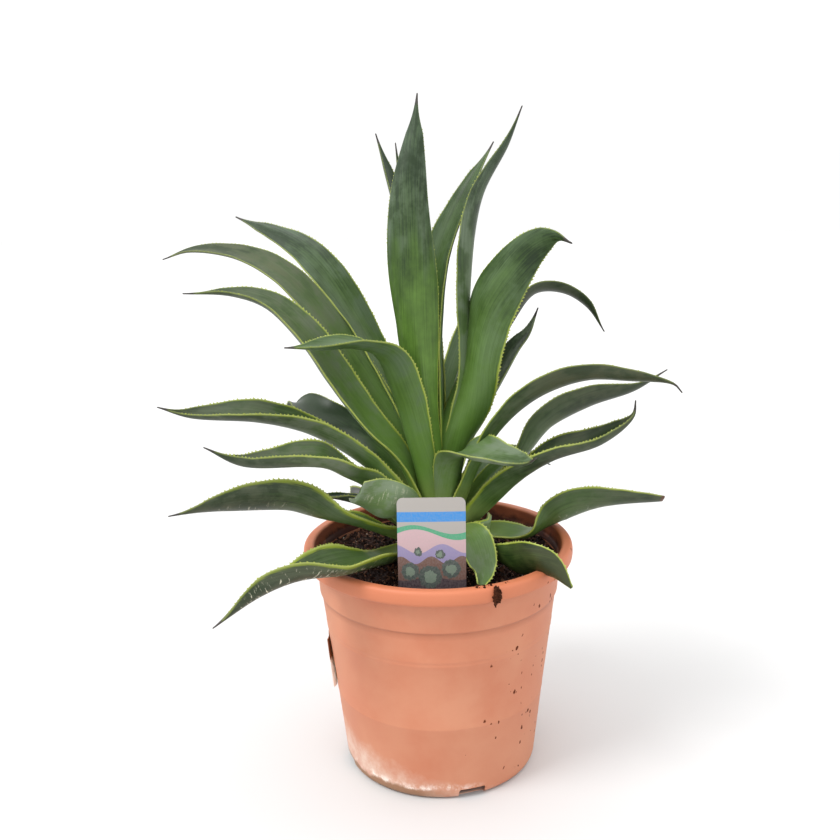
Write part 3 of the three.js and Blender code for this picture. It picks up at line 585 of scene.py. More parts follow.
# azimuth: degrees from +X. path: distance out, height and shift to the left of the midrib's
# points. roll: turn of the blade about its midrib, and cup: turn of its margins, in degrees.
# wave: height, count and phase. end: the share left where a leaf was cut or torn, and dry: how
# brown that end is. bloom: how waxy, 0.7 unless given, and bloom_from: where it begins, as a
# share of the length. tone: 0 for a dark leaf to 1 for a light one. aged: how brown the outer
# part is, and faded: how pale. band: width of the yellow margin in mm at root, middle and tip.
# scars: the side and strength of old scratches.
LEAVES = (
    {"name": "tall_front", "azimuth": 262, "width": 44, "cup": (80, 50, 40),
     "roll": (-3, -15, -15, 19, -23), "bloom": 0.8, "tone": 0.65, "band": (0.7, 0.4, 0.2),
     "bloom_from": 0.63, "path": ((10, 225, -3), (15.4, 282.5, -4.9), (27.4, 337.9, -10.9),
     (37.6, 406.2, -12.6), (35.8, 464.8, -13.1), (30.4, 523.3, -13.4), (15.5, 586.1, -9))},
    {"name": "right_inner", "azimuth": 25, "width": 39.7, "cup": (80, 60, 40),
     "roll": (16, 24, 17, 16, 11), "bloom": 0.8, "tone": 0.75, "band": (1.2, 0.6, 0.3),
     "path": ((6, 230), (0.6, 324.6, 0.1), (0.8, 399.9, 0.3), (8.3, 456, 0.3), (26.3, 497.5, 0.3),
     (56.5, 548.9, -0.5))},
    {"name": "right_narrow", "azimuth": 350, "width": 36.2, "cup": (80, 60, 40),
     "roll": (5, 4, 8, -12, -13), "bloom": 0.85, "tone": 0.6, "band": (0.9, 0.4, 0.2),
     "path": ((6, 230), (14.8, 299.7), (28.6, 359, 0.1), (29, 430.9, -0.4), (38.8, 504.3, 0.1),
     (61.9, 547, 0.5), (73.2, 575.1, -0.2))},
    {"name": "behind_left", "azimuth": 120, "width": 33.7, "cup": (80, 60, 40),
     "roll": (2, 4, 9, 29, 25), "tone": 0.35, "band": (0.9, 0.5, 0.2), "path": ((6, 235),
     (13.8, 333, -4), (26, 400, -2), (40.1, 460, 1.9), (55.7, 510.3, 8.3), (70.9, 558.1, 14.9))},
    {"name": "back_upright", "azimuth": 95, "width": 29, "cup": (80, 60, 40), "tone": 0.45,
     "band": (0.9, 0.5, 0.2), "path": ((6, 230), (22, 320, 5), (42, 395, 9), (58, 450, 10),
     (72, 495, 9), (84, 530, 6))},
    {"name": "big_right", "azimuth": 325, "width": 51.8, "cup": (80, 40, 40),
     "roll": (-14, -56, -107, -86, -71), "bloom": 0.45, "tone": 0.75, "band": (2.8, 1, 0.5),
     "path": ((8, 225), (16.4, 288.9, 0.1), (32.5, 341.9, 0.5), (44, 394.1, -0.3), (55.7, 422.8, -2.1),
     (87.3, 464.2, 4.8), (112.7, 475.7, 1), (130.5, 471.7, -4.1))},
    {"name": "front_bent", "azimuth": 225, "width": 46, "cup": (80, 50, 50), "roll": (0, 0, 0, -10),
     "tone": 0.85, "band": (0.7, 0.9, 0.5), "path": ((10, 220), (18, 270), (28, 304), (41, 345),
     (60, 380), (92, 393), (125, 396), (158, 401))},
    {"name": "left_arch_high", "azimuth": 150, "width": 41.1, "cup": (60, 40, 40),
     "roll": (-5, -3, -3, -29, -25), "bloom": 0.86, "tone": 0.55, "band": (1.2, 0.7, 0.3),
     "path": ((8, 235), (29.1, 307.6, 0.1), (55.5, 355.2, -0.3), (86.6, 404.4, -0.2),
     (114.3, 439.6, 0.8), (141.4, 460.1, -1.1), (211.4, 487.8, 0.9))},
    {"name": "left_arch_long", "azimuth": 172, "width": 41.1, "cup": (60, 40, 40),
     "roll": (-23, -41, -22, -22, -13), "bloom": 0.96, "tone": 0.6, "band": (0.9, 0.5, 0.3),
     "aged": 0.5, "path": ((8, 228), (30.3, 296), (60.6, 344.6, -0.1), (100.1, 404.4, 0.1),
     (133.4, 440.9, 1), (168.3, 457.9, -1), (211.9, 462.7, 1.1), (238.3, 455.6, -0.5))},
    {"name": "left_arch_low", "azimuth": 198, "width": 40.5, "cup": (60, 50, 50),
     "roll": (-18, -40, -42, -33, 9), "bloom": 1, "tone": 0.7, "band": (1.4, 0.9, 0.4), "aged": 0.3,
     "path": ((10, 222), (32, 282.9), (62.7, 321.3, -0.1), (89.9, 361.4, -0.3), (112.8, 396.8, 2.1),
     (140.6, 424.2, -0.6), (168.4, 433.7, -1.8), (206.5, 437, 0.7))},
    {"name": "right_arch", "azimuth": 15, "width": 34, "cup": (80, 50, 40), "roll": (0, -20, -20, -10),
     "tone": 0.25, "band": (0.5, 0.3, 0.2), "aged": 0.35, "path": ((10, 225), (27, 316), (48, 360),
     (69, 399), (90, 423), (118, 422), (140, 408), (156, 385))},
    {"name": "right_small", "azimuth": 20, "width": 30, "cup": (80, 50, 50), "roll": (0, 4, 8, 14, 18),
     "bloom": 0.9, "tone": 0.6, "band": (0.5, 0.3, 0.2), "faded": 0.6, "path": ((12, 220),
     (28.8, 301.7), (52, 337.4), (75.8, 373.7), (87.8, 387.6, -0.4), (96.9, 407.8, 0.1))},
    {"name": "back_right_arch", "azimuth": 66, "width": 42, "cup": (80, 60, 50), "tone": 0.5,
     "band": (1.2, 0.7, 0.4), "path": ((8, 225), (30, 305), (60, 345), (95, 375), (130, 400),
     (165, 415), (200, 415))},
    {"name": "back_left_arch", "azimuth": 126, "width": 40, "cup": (80, 60, 50), "roll": (0, -10, 0),
     "tone": 0.45, "band": (1.2, 0.7, 0.4), "path": ((12, 225), (35, 300), (62, 335), (92, 353),
     (125, 358), (158, 345))},
    {"name": "right_long", "azimuth": 328, "width": 41.8, "cup": (80, 50, 40),
     "roll": (14, 24, -1, -24, -32), "tone": 0.35, "band": (0.9, 0.4, 0.2), "aged": 0.55,
     "path": ((14, 220), (43.1, 287, 0.5), (62.1, 316.8, -0.3), (97.1, 348.4, -0.1),
     (140.3, 367.4, -1.6), (171.5, 368.8, 3.6), (210.3, 368.6, -0.3), (216.3, 363.1, 0.2))},
    {"name": "right_under", "azimuth": 358, "width": 43.7, "cup": (80, 45, 40),
     "roll": (15, 15, -32, -36, -7), "tone": 0.45, "band": (0.7, 0.4, 0.2), "aged": 0.4,
     "path": ((16, 215), (47.3, 259.6, -0.3), (77.1, 285.9, -0.9), (97.5, 312.2, 0.4),
     (131.7, 330.6, 1.7), (170.6, 342.5, -1.2), (197, 358.8))},
    {"name": "right_channelled", "azimuth": 335, "width": 42.4, "cup": (80, 75, 75),
     "roll": (-27, -34, 1, 13, 21), "tone": 0.3, "band": (4.5, 1, 0.4), "aged": 0.35,
     "path": ((16, 208), (46, 242.9, -0.2), (73.8, 269.9, -1.5), (108.6, 294.9, -1.9),
     (148.5, 312.1, 0.1), (173, 335.2, -0.2), (173.4, 347.2, 2.7))},
    {"name": "front_toothed", "azimuth": 300, "width": 41.9, "cup": (80, 50, 50),
     "roll": (-7, -10, 14, 9, 14), "bloom": 1, "tone": 0.75, "band": (0.7, 0.8, 0.4), "faded": 0.45,
     "path": ((14, 212), (20.7, 253.4, -0.1), (30.5, 288, 0.8), (55.5, 299.9, 0.7),
     (89.5, 303.1, -1.2), (130.4, 308.2, 3.4), (147.6, 317.4, 0.3))},
    {"name": "left_long", "azimuth": 193, "width": 44.5, "cup": (80, 75, 65),
     "roll": (7, 12, 6, -13, -4), "bloom": 0.92, "tone": 0.55, "band": (2.2, 1.2, 0.5), "aged": 0.35,
     "path": ((16, 218), (40.3, 257.7, 0.5), (64.7, 282.9, -0.8), (106.5, 311.5, -1.9),
     (153.4, 328.5, 2.2), (209.9, 333.5, -3.7), (232.9, 344, 2.9))},
    {"name": "left_back_dark", "azimuth": 148, "width": 52.7, "cup": (80, 50, 50),
     "roll": (2, -25.9, 4, -14.6, -6.2), "bloom": 0.25, "tone": 0.15, "band": (1, 0.6, 0.3),
     "path": ((14, 220), (51, 262.7), (86.9, 288.4, 2.8), (125.3, 303.1, 4.8), (153.6, 313.9, -3.2),
     (165.5, 307, -5), (171, 292, -6))},
    {"name": "left_middle", "azimuth": 212, "width": 46.9, "cup": (80, 75, 65),
     "roll": (13, 20, -11, 5, 15), "bloom": 0.97, "tone": 0.6, "band": (1.4, 1, 0.4), "aged": 0.4,
     "path": ((16, 214), (41.3, 240.2, 0.2), (66.7, 267.9, -2.5), (89.1, 282.1, -1.9),
     (114.7, 297.3, 5.3), (179.4, 306, 0.3), (208.8, 324.4, -1.5))},
    {"name": "left_torn", "azimuth": 236, "width": 43.3, "cup": (70, 50, 40),
     "roll": (9, 33, 50, 60, 20), "bloom": 0.9, "tone": 0.8, "band": (0.7, 0.6, 0.5), "end": 0.55,
     "scars": (1, 0.35), "faded": 0.8, "path": ((12, 212), (42, 234.7, 1.7), (64.8, 256.8, 9.6),
     (95.7, 269, -14.8))},
    {"name": "back_low_left", "azimuth": 108, "width": 42, "cup": (70, 50, 50), "tone": 0.4,
     "band": (1.5, 1.1, 0.5), "path": ((16, 205), (41, 257), (80, 285), (125, 288), (172, 265))},
    {"name": "back_low_middle", "azimuth": 80, "width": 42, "cup": (70, 50, 50), "tone": 0.45,
     "band": (1.5, 1.1, 0.5), "path": ((16, 204), (41, 240), (72, 260), (108, 262), (150, 240))},
    {"name": "back_low_right", "azimuth": 42, "width": 40, "cup": (70, 50, 50), "tone": 0.4,
     "band": (1.5, 1, 0.5), "path": ((16, 204), (40, 242), (75, 262), (112, 262), (150, 244))},
    {"name": "back_bottom_left", "azimuth": 130, "width": 44, "cup": (60, 50, 50), "tone": 0.35,
     "band": (1.9, 1.2, 0.5), "path": ((16, 203), (42, 218), (75, 228), (108, 226), (136, 212))},
    {"name": "back_bottom_middle", "azimuth": 103, "width": 44, "cup": (60, 50, 50), "tone": 0.4,
     "band": (1.9, 1.2, 0.5), "path": ((16, 203), (42, 215), (75, 224), (112, 226), (148, 216))},
    {"name": "back_bottom_right", "azimuth": 74, "width": 42, "cup": (60, 50, 50), "tone": 0.35,
     "band": (1.9, 1.2, 0.5), "path": ((16, 203), (42, 214), (75, 221), (108, 222), (138, 210))},
    {"name": "left_low", "azimuth": 203, "width": 44.1, "cup": (60, 50, 40),
     "roll": (42, 1, 48, 56, 28), "bloom": 0.8, "tone": 0.45, "band": (1.6, 3.2, 0.2),
     "scars": (-1, 0.45), "aged": 0.4, "path": ((16, 207), (43.3, 217.8, 0.4), (73.4, 232.4, 1.1),
     (102, 242.2, -3.7), (130.6, 258.4, -1.1), (169.7, 264.6, 0.6), (233.1, 263.1, 0.6))},
    {"name": "left_small", "azimuth": 170, "width": 32.1, "cup": (70, 50, 50),
     "roll": (5, 0, 10, 13, -29), "tone": 0.4, "band": (1, 0.7, 0.4), "path": ((14, 205),
     (42.2, 225, 0.2), (71.8, 237, -0.3), (108.6, 243.8, 0.2))},
    {"name": "right_low", "azimuth": 14, "width": 37.1, "cup": (40, 40, 40),
     "roll": (-7, 21, -69, -42, -25), "tone": 0.4, "band": (1.6, 1.4, 0.5), "end": 0.88,
     "scars": (1, 0.3), "dry": 1, "aged": 0.35, "path": ((14, 203), (53.5, 206.6, 1.2),
     (84.5, 204, -4.9), (101.7, 213.9, -5.3), (117.4, 225.3, -9.8), (155.7, 226.8, -4.2),
     (214.1, 224.3, -6.1))},
    {"name": "front_right_drooping", "azimuth": 322, "width": 37.7, "cup": (60, 40, 40),
     "roll": (-3, -21, -62, -69, -99), "bloom": 0.1, "tone": 0.1, "band": (1, 0.9, 0.6), "end": 0.97,
     "aged": 0.4, "path": ((14, 203), (50.6, 205.4, 1.5), (84.1, 204.8, -6.4), (110.9, 214.8, -14),
     (128.1, 212.3, -12), (144.8, 200.7, -12.1))},
    {"name": "left_drooping", "azimuth": 217, "width": 53, "cup": (60, 60, 50),
     "roll": (25, 9, 0, 34, 26), "tone": 0.4, "band": (1.2, 3.2, 0.3), "wave": (3, 2.5, 0),
     "scars": (1, 0.9), "aged": 0.4, "path": ((14, 203), (43.8, 196.7, -7.3), (75, 207.8, 14.4),
     (124.1, 214.3, 23.4), (165.2, 219.3, 28.7), (189.4, 211.4, 21.6), (224.5, 191, 11.4))},
    {"name": "front_folded", "azimuth": 300, "width": 34.7, "cup": (50, 40, 60),
     "roll": (3, 9, 8, -1, -7), "bloom": 0.88, "tone": 0.6, "band": (1, 0.9, 0.7), "end": 0.9,
     "faded": 0.7, "path": ((14, 205), (34.9, 222.4, -2.4), (59.3, 225.8, -2.4), (75.3, 201, -2.5),
     (85, 194.7, -9.6))},
    {"name": "right_stub", "azimuth": 330, "width": 30, "cup": (50, 50, 50), "tone": 0.8,
     "band": (4, 5, 5), "end": 0.6, "faded": 0.4, "path": ((14, 203), (32, 206), (46, 218), (50, 233))},
)


def along(values, share):
    """Values at shares of the way down a list of them at equal steps, on a smooth curve."""
    values = np.array(values, float)
    last = len(values) - 1
    at = np.clip(np.asarray(share, float), 0, 1) * last
    i = np.minimum(at.astype(int), last - 1)
    t = at - i
    slope_in = (values[i + 1] - values[np.maximum(i - 1, 0)]) / 2
    slope_out = (values[np.minimum(i + 2, last)] - values[i]) / 2
    rise = values[i + 1] - values[i]
    return values[i] + t * (
        slope_in + t * (3 * rise - 2 * slope_in - slope_out + t * (slope_in + slope_out - 2 * rise))
    )


def smooth_path(corners, samples=60):
    """Points on a smooth curve through corners, which bends no more than their spacing asks."""
    corners = np.array(corners, float)
    ends = 2 * corners[[0, -1]] - corners[[1, -2]]
    ring = np.vstack([ends[0], corners, ends[1]])
    made = []
    for i in range(1, len(ring) - 2):
        before, start, stop, after = ring[i - 1 : i + 3]
        d0, d1, d2 = (np.linalg.norm(q - p) ** 0.5 for p, q in zip(ring[i - 1 :], ring[i : i + 3]))
        out = ((start - before) / d0 - (stop - before) / (d0 + d1) + (stop - start) / d1) * d1
        into = ((stop - start) / d1 - (after - start) / (d1 + d2) + (after - stop) / d2) * d1
        t = np.linspace(0, 1, samples, endpoint=False)[:, None]
        square = -3 * start + 3 * stop - 2 * out - into
        made.append(start + t * (out + t * (square + t * (2 * start - 2 * stop + out + into))))
    made.append(corners[-1:])
    return np.vstack(made)


def even_steps(path, step):
    """Points at even distances of about a step along a path, their tangents and distances."""
    pieces = np.linalg.norm(np.diff(path, axis=0), axis=1)
    distance = np.concatenate([[0], np.cumsum(pieces)])
    count = max(8, round(distance[-1] / step))
    wanted = np.linspace(0, distance[-1], count + 1)
    points = np.stack([np.interp(wanted, distance, path[:, k]) for k in range(3)], -1)
    tangents = np.gradient(points, axis=0)
    return points, tangents / np.linalg.norm(tangents, axis=1)[:, None], wanted


def leaf_rows(leaf):
    """Midrib points of a leaf with their tangents, ways across and up, and distances."""
    azimuth = math.radians(leaf["azimuth"])
    outward = np.array([math.cos(azimuth), math.sin(azimuth), 0])
    left = np.array([-math.sin(azimuth), math.cos(azimuth), 0])
    corners = [
        outward * out + left * (side[0] if side else 0) + np.array([0, 0, up])
        for out, up, *side in leaf["path"]
    ]
    points, tangents, distance = even_steps(smooth_path(corners), LEAF_STEP)
    rolls = np.radians(along(leaf.get("roll", (0, 0)), distance / distance[-1]))
    across = left
    margins = []
    for tangent, roll in zip(tangents, rolls):
        across = across - tangent * (across @ tangent)
        across = across / np.linalg.norm(across)
        margins.append(across * math.cos(roll) + np.cross(tangent, across) * math.sin(roll))
    margins = np.array(margins)
    return points, tangents, margins, np.cross(tangents, margins), distance


def leaf_surface(leaf, rows, u):
    """Points, ways across, normals and half thicknesses of a leaf's mid-surface at u, -1 to 1."""
    points, tangents, margins, ups, distance = (row[:, None] for row in rows)
    u = np.broadcast_to(u, (len(points), np.shape(u)[-1]))
    share = distance / rows[4][-1]
    whole = share * leaf.get("end", 1)
    to_tip = rows[4][-1] / leaf.get("end", 1) * (1 - whole)
    narrowing = SPINE_NARROWING + (1 - SPINE_NARROWING) * np.clip(to_tip / SPINE_REACH, 0, 1)
    cup = np.radians(along(leaf["cup"], share))
    half = np.maximum(leaf["width"] / 2 * along(OUTLINE, whole) * narrowing, 0.3)
    height, waves, phase = leaf.get("wave", (0, 0, 0))
    swing = np.sin(2 * math.pi * (waves * share + phase + np.where(u > 0, 0.25, 0)))
    wave = height * u * u * swing * np.sin(math.pi * share)
    ripple = np.sin(distance / 4.1 + leaf["azimuth"] + u * 3) + np.sin(distance / 6.7 - u * 5)
    wave = wave + MARGIN_RIPPLE * np.abs(u) ** 3 * ripple * np.clip(half / 12, 0, 1)
    sideways = half * np.sin(cup * u) / cup
    upwards = half * (1 - np.cos(cup * u)) / cup + wave
    middle = along(MIDRIB_THICKNESS, whole)
    edge = np.minimum(MARGIN_THICKNESS, middle)
    thick = edge + (middle - edge) * (1 - u * u)
    place = points + margins * sideways[..., None] + ups * upwards[..., None]
    ways = margins * np.cos(cup * u)[..., None] + ups * np.sin(cup * u)[..., None]
    normals = ups * np.cos(cup * u)[..., None] - margins * np.sin(cup * u)[..., None]
    return place, ways, normals, thick, half * u


def between_rings(count, size):
    """Faces between rings of points, each ring joined to the next."""
    return [
        (a + k, a + (k + 1) % size, a + size + (k + 1) % size, a + size + k)
        for a in range(0, (count - 1) * size, size) for k in range(size)
    ]


def leaf_mesh(leaf, number, rows):
    """Points in mm, faces and shader values of a leaf: two faces, rounded margins, closed ends."""
    even = np.linspace(-1, 1, LEAF_COLUMNS + 1)
    u = even * (1.5 - 0.5 * even**2)
    place, ways, normals, thick, arc = leaf_surface(leaf, rows, u)
    upper = place + normals * thick[..., None]
    lower = place - normals * thick[..., None]
    turn = np.radians([45, 90, 135])

    def rounded(side):
        edge, way, normal = place[:, side, None], ways[:, side, None], normals[:, side, None]
        rise, out = thick[:, side, None] * np.cos(turn), thick[:, side, None] * np.sin(turn)
        sign = 1 if side else -1
        return edge + way * (sign * 0.8 * out)[..., None] + normal * rise[..., None]

    ring = np.concatenate([upper, rounded(-1), lower[:, ::-1], rounded(0)[:, ::-1]], 1)
    half = np.abs(arc[:, -1:])
    edge_arc = np.concatenate([arc, np.repeat(half, 3, 1), arc[:, ::-1], np.repeat(-half, 3, 1)], 1)
    inset = half - np.abs(edge_arc)
    underside = np.repeat([0, 0.5, 1, 0.5], [len(u), 3, len(u), 3])
    count, size = ring.shape[:2]
    distance = rows[4]
    length = distance[-1]
    share = distance / length
    cut = "end" in leaf
    if cut:
        seeds = [noise.noise((c * 0.9, number * 3.1, 0)) for c in range(size)]
        ragged = np.array(seeds) * TORN_DEPTH
        fade = np.clip((distance - length + 9) / 9, 0, 1)
        ring = ring + rows[1][:, None] * (fade[:, None] * ragged[None])[..., None]
    tip_reach = 0 if cut else 0.8
    points = np.vstack([ring.reshape(-1, 3), rows[0][0], rows[0][-1] + rows[1][-1] * tip_reach])
    faces = [(a, d, c, b) for a, b, c, d in between_rings(count, size)]
    last = (count - 1) * size
    for j in range(size):
        k = (j + 1) % size
        faces.append((count * size, j, k))
        faces.append((count * size + 1, last + k, last + j))
    shape = (count, size)
    to_tip = np.broadcast_to((length - distance)[:, None], shape) + (100 if cut else 0)
    bloom_edge = leaf.get("bloom_from", -1) + 0.05 * np.sin(np.arange(size) * 1.3)
    bloom = leaf.get("bloom", 0.7) * np.clip((share[:, None] - bloom_edge) * 12, 0, 1)
    dry = leaf.get("dry", 0) * np.clip(1 - (length - distance) / 5, 0, 1)[:, None]
    side, strength = leaf.get("scars", (0, 0))
    scars = strength * np.clip(1.5 - 3 * np.abs(side * edge_arc / half - 0.4), 0, 1) * underside
    band = np.interp(share, (0, 0.5, 1), leaf["band"])[:, None]
    layers = {
        "blade": (edge_arc / 1000, np.broadcast_to(distance[:, None] / 1000, shape), number * 1.37),
        "edge": (inset / 1000, band / 1000, to_tip / 1000),
        "finish": (bloom * (0.85 + 0.15 * underside), leaf["tone"] - 0.1 * underside, scars),
        "wear": (
            dry, leaf.get("aged", 0) * np.clip(share[:, None] * 2.2 - 0.5, 0, 1),
            leaf.get("faded", 0) * np.clip(share[:, None] * 2 - 0.6, 0, 1),
        ),
    }
    values = {}
    for name, parts in layers.items():
        stacked = np.stack([np.broadcast_to(part, shape) for part in parts], -1).reshape(-1, 3)
        values[name] = np.vstack([stacked, stacked[0], stacked[last]])
    return points, faces, values


# Agave skin: hard and smooth, deep green under a matt blue-grey wax that lies unevenly and has
# rubbed thin in streaks. The margin is a yellow stripe, and the spine is dark, dull horn.
LEAF_COLOURS = {
    "dark": "#182c0d", "light": "#6f953f", "wax": "#3a493b", "wax streak": "#60705c",
    "thick wax": "#86917c", "faded": "#7c8a72", "aged": "#4c4a30", "base": "#8b9458",
    "margin": "#94a42c", "margin edge": "#b4bf62", "scar": "#dcd8bf", "dry": "#5e4232",
    "spine": "#3a3632",
}
STREAK_MM = (0.9, 45)
MOTTLE_MM = 16
SPINE_MM = 7
agave_skin, tree, shader = new_material("waxy agave leaf", {"Specular IOR Level": 0.3})
blade, edge, finish, wear = (
    add(tree, "Attribute", attribute_name=name).outputs["Vector"]
    for name in ("blade", "edge", "finish", "wear")
)
off_middle, from_root, _ = add(tree, "SeparateXYZ", (blade,)).outputs
inset, band, to_tip = add(tree, "SeparateXYZ", (edge,)).outputs
bloom, tone, scarred = add(tree, "SeparateXYZ", (finish,)).outputs
dry, aged, faded = add(tree, "SeparateXYZ", (wear,)).outputs
drawn_out = add(tree, "Mapping", {
    "Vector": blade, "Scale": (1000 / STREAK_MM[0], 1000 / STREAK_MM[1], 1),
})
streaks = add(tree, "TexNoise", {"Vector": drawn_out, "Scale": 1, "Detail": 3})
spread = add(tree, "Mapping", {"Vector": blade, "Scale": (1000 / MOTTLE_MM, 600 / MOTTLE_MM, 1)})
mottle = add(tree, "TexNoise", {"Vector": spread, "Scale": 1, "Detail": 6, "Roughness": 0.62})
lightness = add(tree, "Math", (streaks, 0.5, tone), operation="MULTIPLY_ADD")
lightness = add(tree, "Math", (mottle, 0.8, lightness), operation="MULTIPLY_ADD")
# Leaves are lighter towards the heart, painted light against the shade the crowded rosette casts there,
# and darken over their outer half
whole = add(tree, "Math", (from_root, to_tip), operation="ADD")
outward = add(tree, "Math", (from_root, whole), operation="DIVIDE")
heart_light_and_outer_dark = add(tree, "MapRange", (outward, 0.1, 0.85, 0.35, -0.6))
lightness = add(tree, "Math", (lightness, heart_light_and_outer_dark), operation="ADD")
lightness = add(tree, "MapRange", (lightness, 0.6, 1.7))
# Bloom: thickest in cloudy patches, rubbed in long streaks, and thinner along the middle; the paler,
# bluer sides are partly painted reflection of the sky on the channel
cloudy = add(tree, "MapRange", (mottle, 0.43, 0.57, 0.3, 1))
rubbed = add(tree, "MapRange", (streaks, 0.32, 0.6, 0.8, 1))
outer_wax = add(tree, "MapRange", (outward, 0.05, 0.55, 0.25, 1))
off_middle = add(tree, "Math", (off_middle,), operation="ABSOLUTE")
# Painted reflection: less wax along the middle leaves the sides paler, as the sky's reflection on a
# channelled blade
sideways = add(tree, "MapRange", (off_middle, 0.002, 0.012, 0.5, 1))
waxy = cloudy
for share in (rubbed, bloom, outer_wax, sideways):
    waxy = add(tree, "Math", (waxy, share), operation="MULTIPLY")
# Leaves with more than 0.75 of bloom carry it thick enough to whiten them, but for their ends
thick = add(tree, "MapRange", (bloom, 0.75, 1, 0, 0.75))
thinner = add(tree, "MapRange", (outward, 0.7, 0.9, 1, 0))
thick = add(tree, "Math", (thick, thinner), operation="MULTIPLY")
# The oldest leaves turn brown and pale in patches towards their ends
browned = add(tree, "Math", (aged, cloudy), operation="MULTIPLY")
pallid = add(tree, "Math", (faded, cloudy), operation="MULTIPLY")
# Base: the part that stayed in the heart, away from light, is paler
pale = add(tree, "MapRange", (from_root, 0.055, 0.012, 0, 0.75))
# Margin: the stripe's inner side frays along the veins, in threads 1 mm wide and 14 mm long
fray = add(tree, "TexNoise", {
    "Vector": add(tree, "Mapping", {"Vector": blade, "Scale": (900, 70, 1)}),
    "Scale": 1, "Detail": 3,
})
frayed = add(tree, "MapRange", (fray, 0.3, 0.7, 0.55, 1.35))
reach = add(tree, "Math", (band, frayed), operation="MULTIPLY")
over_edge = add(tree, "Math", (inset, reach), operation="DIVIDE")
striped = add(tree, "MapRange", (over_edge, 1.3, 0.5, 0, 0.85), interpolation_type="SMOOTHSTEP")
outermost = add(tree, "MapRange", (over_edge, 0.5, 0.1))
fainter = add(tree, "MapRange", (outward, 0.45, 0.9, 1, 0.35))
narrow = add(tree, "MapRange", (band, 0.0002, 0.0008, 0.4, 1))
for share in (fainter, narrow):
    striped = add(tree, "Math", (striped, share), operation="MULTIPLY")
# Scars are scratches 9 mm long and 2 mm wide across the veins. Then dry tissue and the spine.
torn = add(tree, "TexNoise", {
    "Vector": add(tree, "Mapping", {"Vector": blade, "Scale": (110, 420, 1)}),
    "Scale": 1, "Detail": 6, "Roughness": 0.7,
})
torn = add(tree, "MapRange", (torn, 0.58, 0.61))
torn = add(tree, "Math", (torn, scarred), operation="MULTIPLY")
dried = add(tree, "Math", (dry, mottle), operation="ADD")
dried = add(tree, "MapRange", (dried, 0.8, 1.1))
horny = add(tree, "MapRange", (to_tip, (SPINE_MM + 3) / 1000, SPINE_MM / 1000))
# The colours, and then the coats in their order
wax = LEAF_COLOURS["wax"]
for share, colour in ((streaks, "wax streak"), (thick, "thick wax")):
    wax = add(tree, "Mix", {0: share, 6: wax, 7: LEAF_COLOURS[colour]}, data_type="RGBA")
stripe = add(tree, "Mix", {
    0: outermost, 6: LEAF_COLOURS["margin"], 7: LEAF_COLOURS["margin edge"],
}, data_type="RGBA")
skin = LEAF_COLOURS["dark"]
for share, colour in (
    (lightness, LEAF_COLOURS["light"]), (waxy, wax), (browned, LEAF_COLOURS["aged"]),
    (pallid, LEAF_COLOURS["faded"]), (pale, LEAF_COLOURS["base"]), (striped, stripe),
    (torn, LEAF_COLOURS["scar"]), (dried, LEAF_COLOURS["dry"]), (horny, LEAF_COLOURS["spine"]),
):
    skin = add(tree, "Mix", {0: share, 6: skin, 7: colour}, data_type="RGBA")
dull = add(tree, "MapRange", {0: waxy, 3: 0.36, 4: 0.62})
veins = add(tree, "Math", (torn, 1.5, streaks), operation="MULTIPLY_ADD")
plug(shader, {
    "Base Color": skin,
    "Roughness": add(tree, "Math", (torn, dull), operation="MAXIMUM"),
    "Normal": add(tree, "Bump", {"Height": veins, "Strength": 0.5, "Distance": 0.00012}),
})


def with_values(piece, values):
    """Vector attributes on a piece's points, for its shader."""
    for name, vectors in values.items():
        layer = piece.data.attributes.new(name, "FLOAT_VECTOR", "POINT")
        layer.data.foreach_set("vector", np.asarray(vectors, np.float32).ravel())


TOOTHED = (0.12, 0.93)
tooth_roots, tooth_aims, tooth_runs, tooth_sizes = [], [], [], []
for number, leaf in enumerate(LEAVES):
    rows = leaf_rows(leaf)
    points, faces, values = leaf_mesh(leaf, number, rows)
    piece = new_piece("agave_leaf_" + leaf["name"], points.tolist(), faces, agave_skin)
    with_values(piece, values)
    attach(piece, "root")
    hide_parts("leaf_" + leaf["name"])
    # Where this leaf's teeth stand, for the next section
    place, ways, _, _, _ = leaf_surface(leaf, rows, np.array([-1.0, 1.0]))
    length = rows[4][-1]
    chance = random.Random(number)
    for side in (0, 1):
        sign = 2 * side - 1
        at = TOOTHED[0] * length + chance.uniform(0, TOOTH_SPACING)
        while at < TOOTHED[1] * length / leaf.get("end", 1) and at < length - 3:
            root, out, run = (
                np.array([np.interp(at, rows[4], row[:, k]) for k in range(3)])
                for row in (place[:, side], ways[:, side], rows[1])
            )
            tooth_roots.append(root)
            tooth_aims.append(sign * out + 0.55 * run)
            tooth_runs.append(run)
            shape = 0.75 + 0.25 * math.sin(math.pi * at / length)
            tooth_sizes.append(TOOTH_LENGTH * shape * min(1, 0.6 + 0.4 * leaf["band"][1]))
            at += TOOTH_SPACING * chance.uniform(0.8, 1.25)

# Teeth: small horny hooks, 1 to 2 mm long, all along both margins and leaning to the tip.
# Each is a flattened cone stood on a point of the margin.
tooth_horn, _, _ = new_material("pale tooth horn", {"Base Color": "#a4ad4c", "Roughness": 0.5})
small_hooks, given, result = new_tree("small hooks", [
    ("Width", "Float"), ("Least", "Float"), ("Seed", "Int"), ("Material", "Material"),
])
hook = add(small_hooks, "GeometryNodeMeshCone", {
    "Vertices": 5, "Radius Top": 0.06, "Radius Bottom": 0.42, "Depth": 1.0,
})
aim, run, size = (
    add(small_hooks, "GeometryNodeInputNamedAttribute", (name,), data_type=kind)
    for name, kind in (("aim", "FLOAT_VECTOR"), ("run", "FLOAT_VECTOR"), ("size", "FLOAT"))
)
upright = add(small_hooks, "FunctionNodeAlignRotationToVector", {"Vector": aim}, axis="Z")
lengthways = add(small_hooks, "FunctionNodeAlignRotationToVector", {
    "Rotation": upright, "Vector": run,
}, axis="X", pivot_axis="Z")
grown_size = add(small_hooks, "FunctionNodeRandomValue", {
    2: given["Least"], 3: 1.0, "Seed": given["Seed"],
}, data_type="FLOAT")
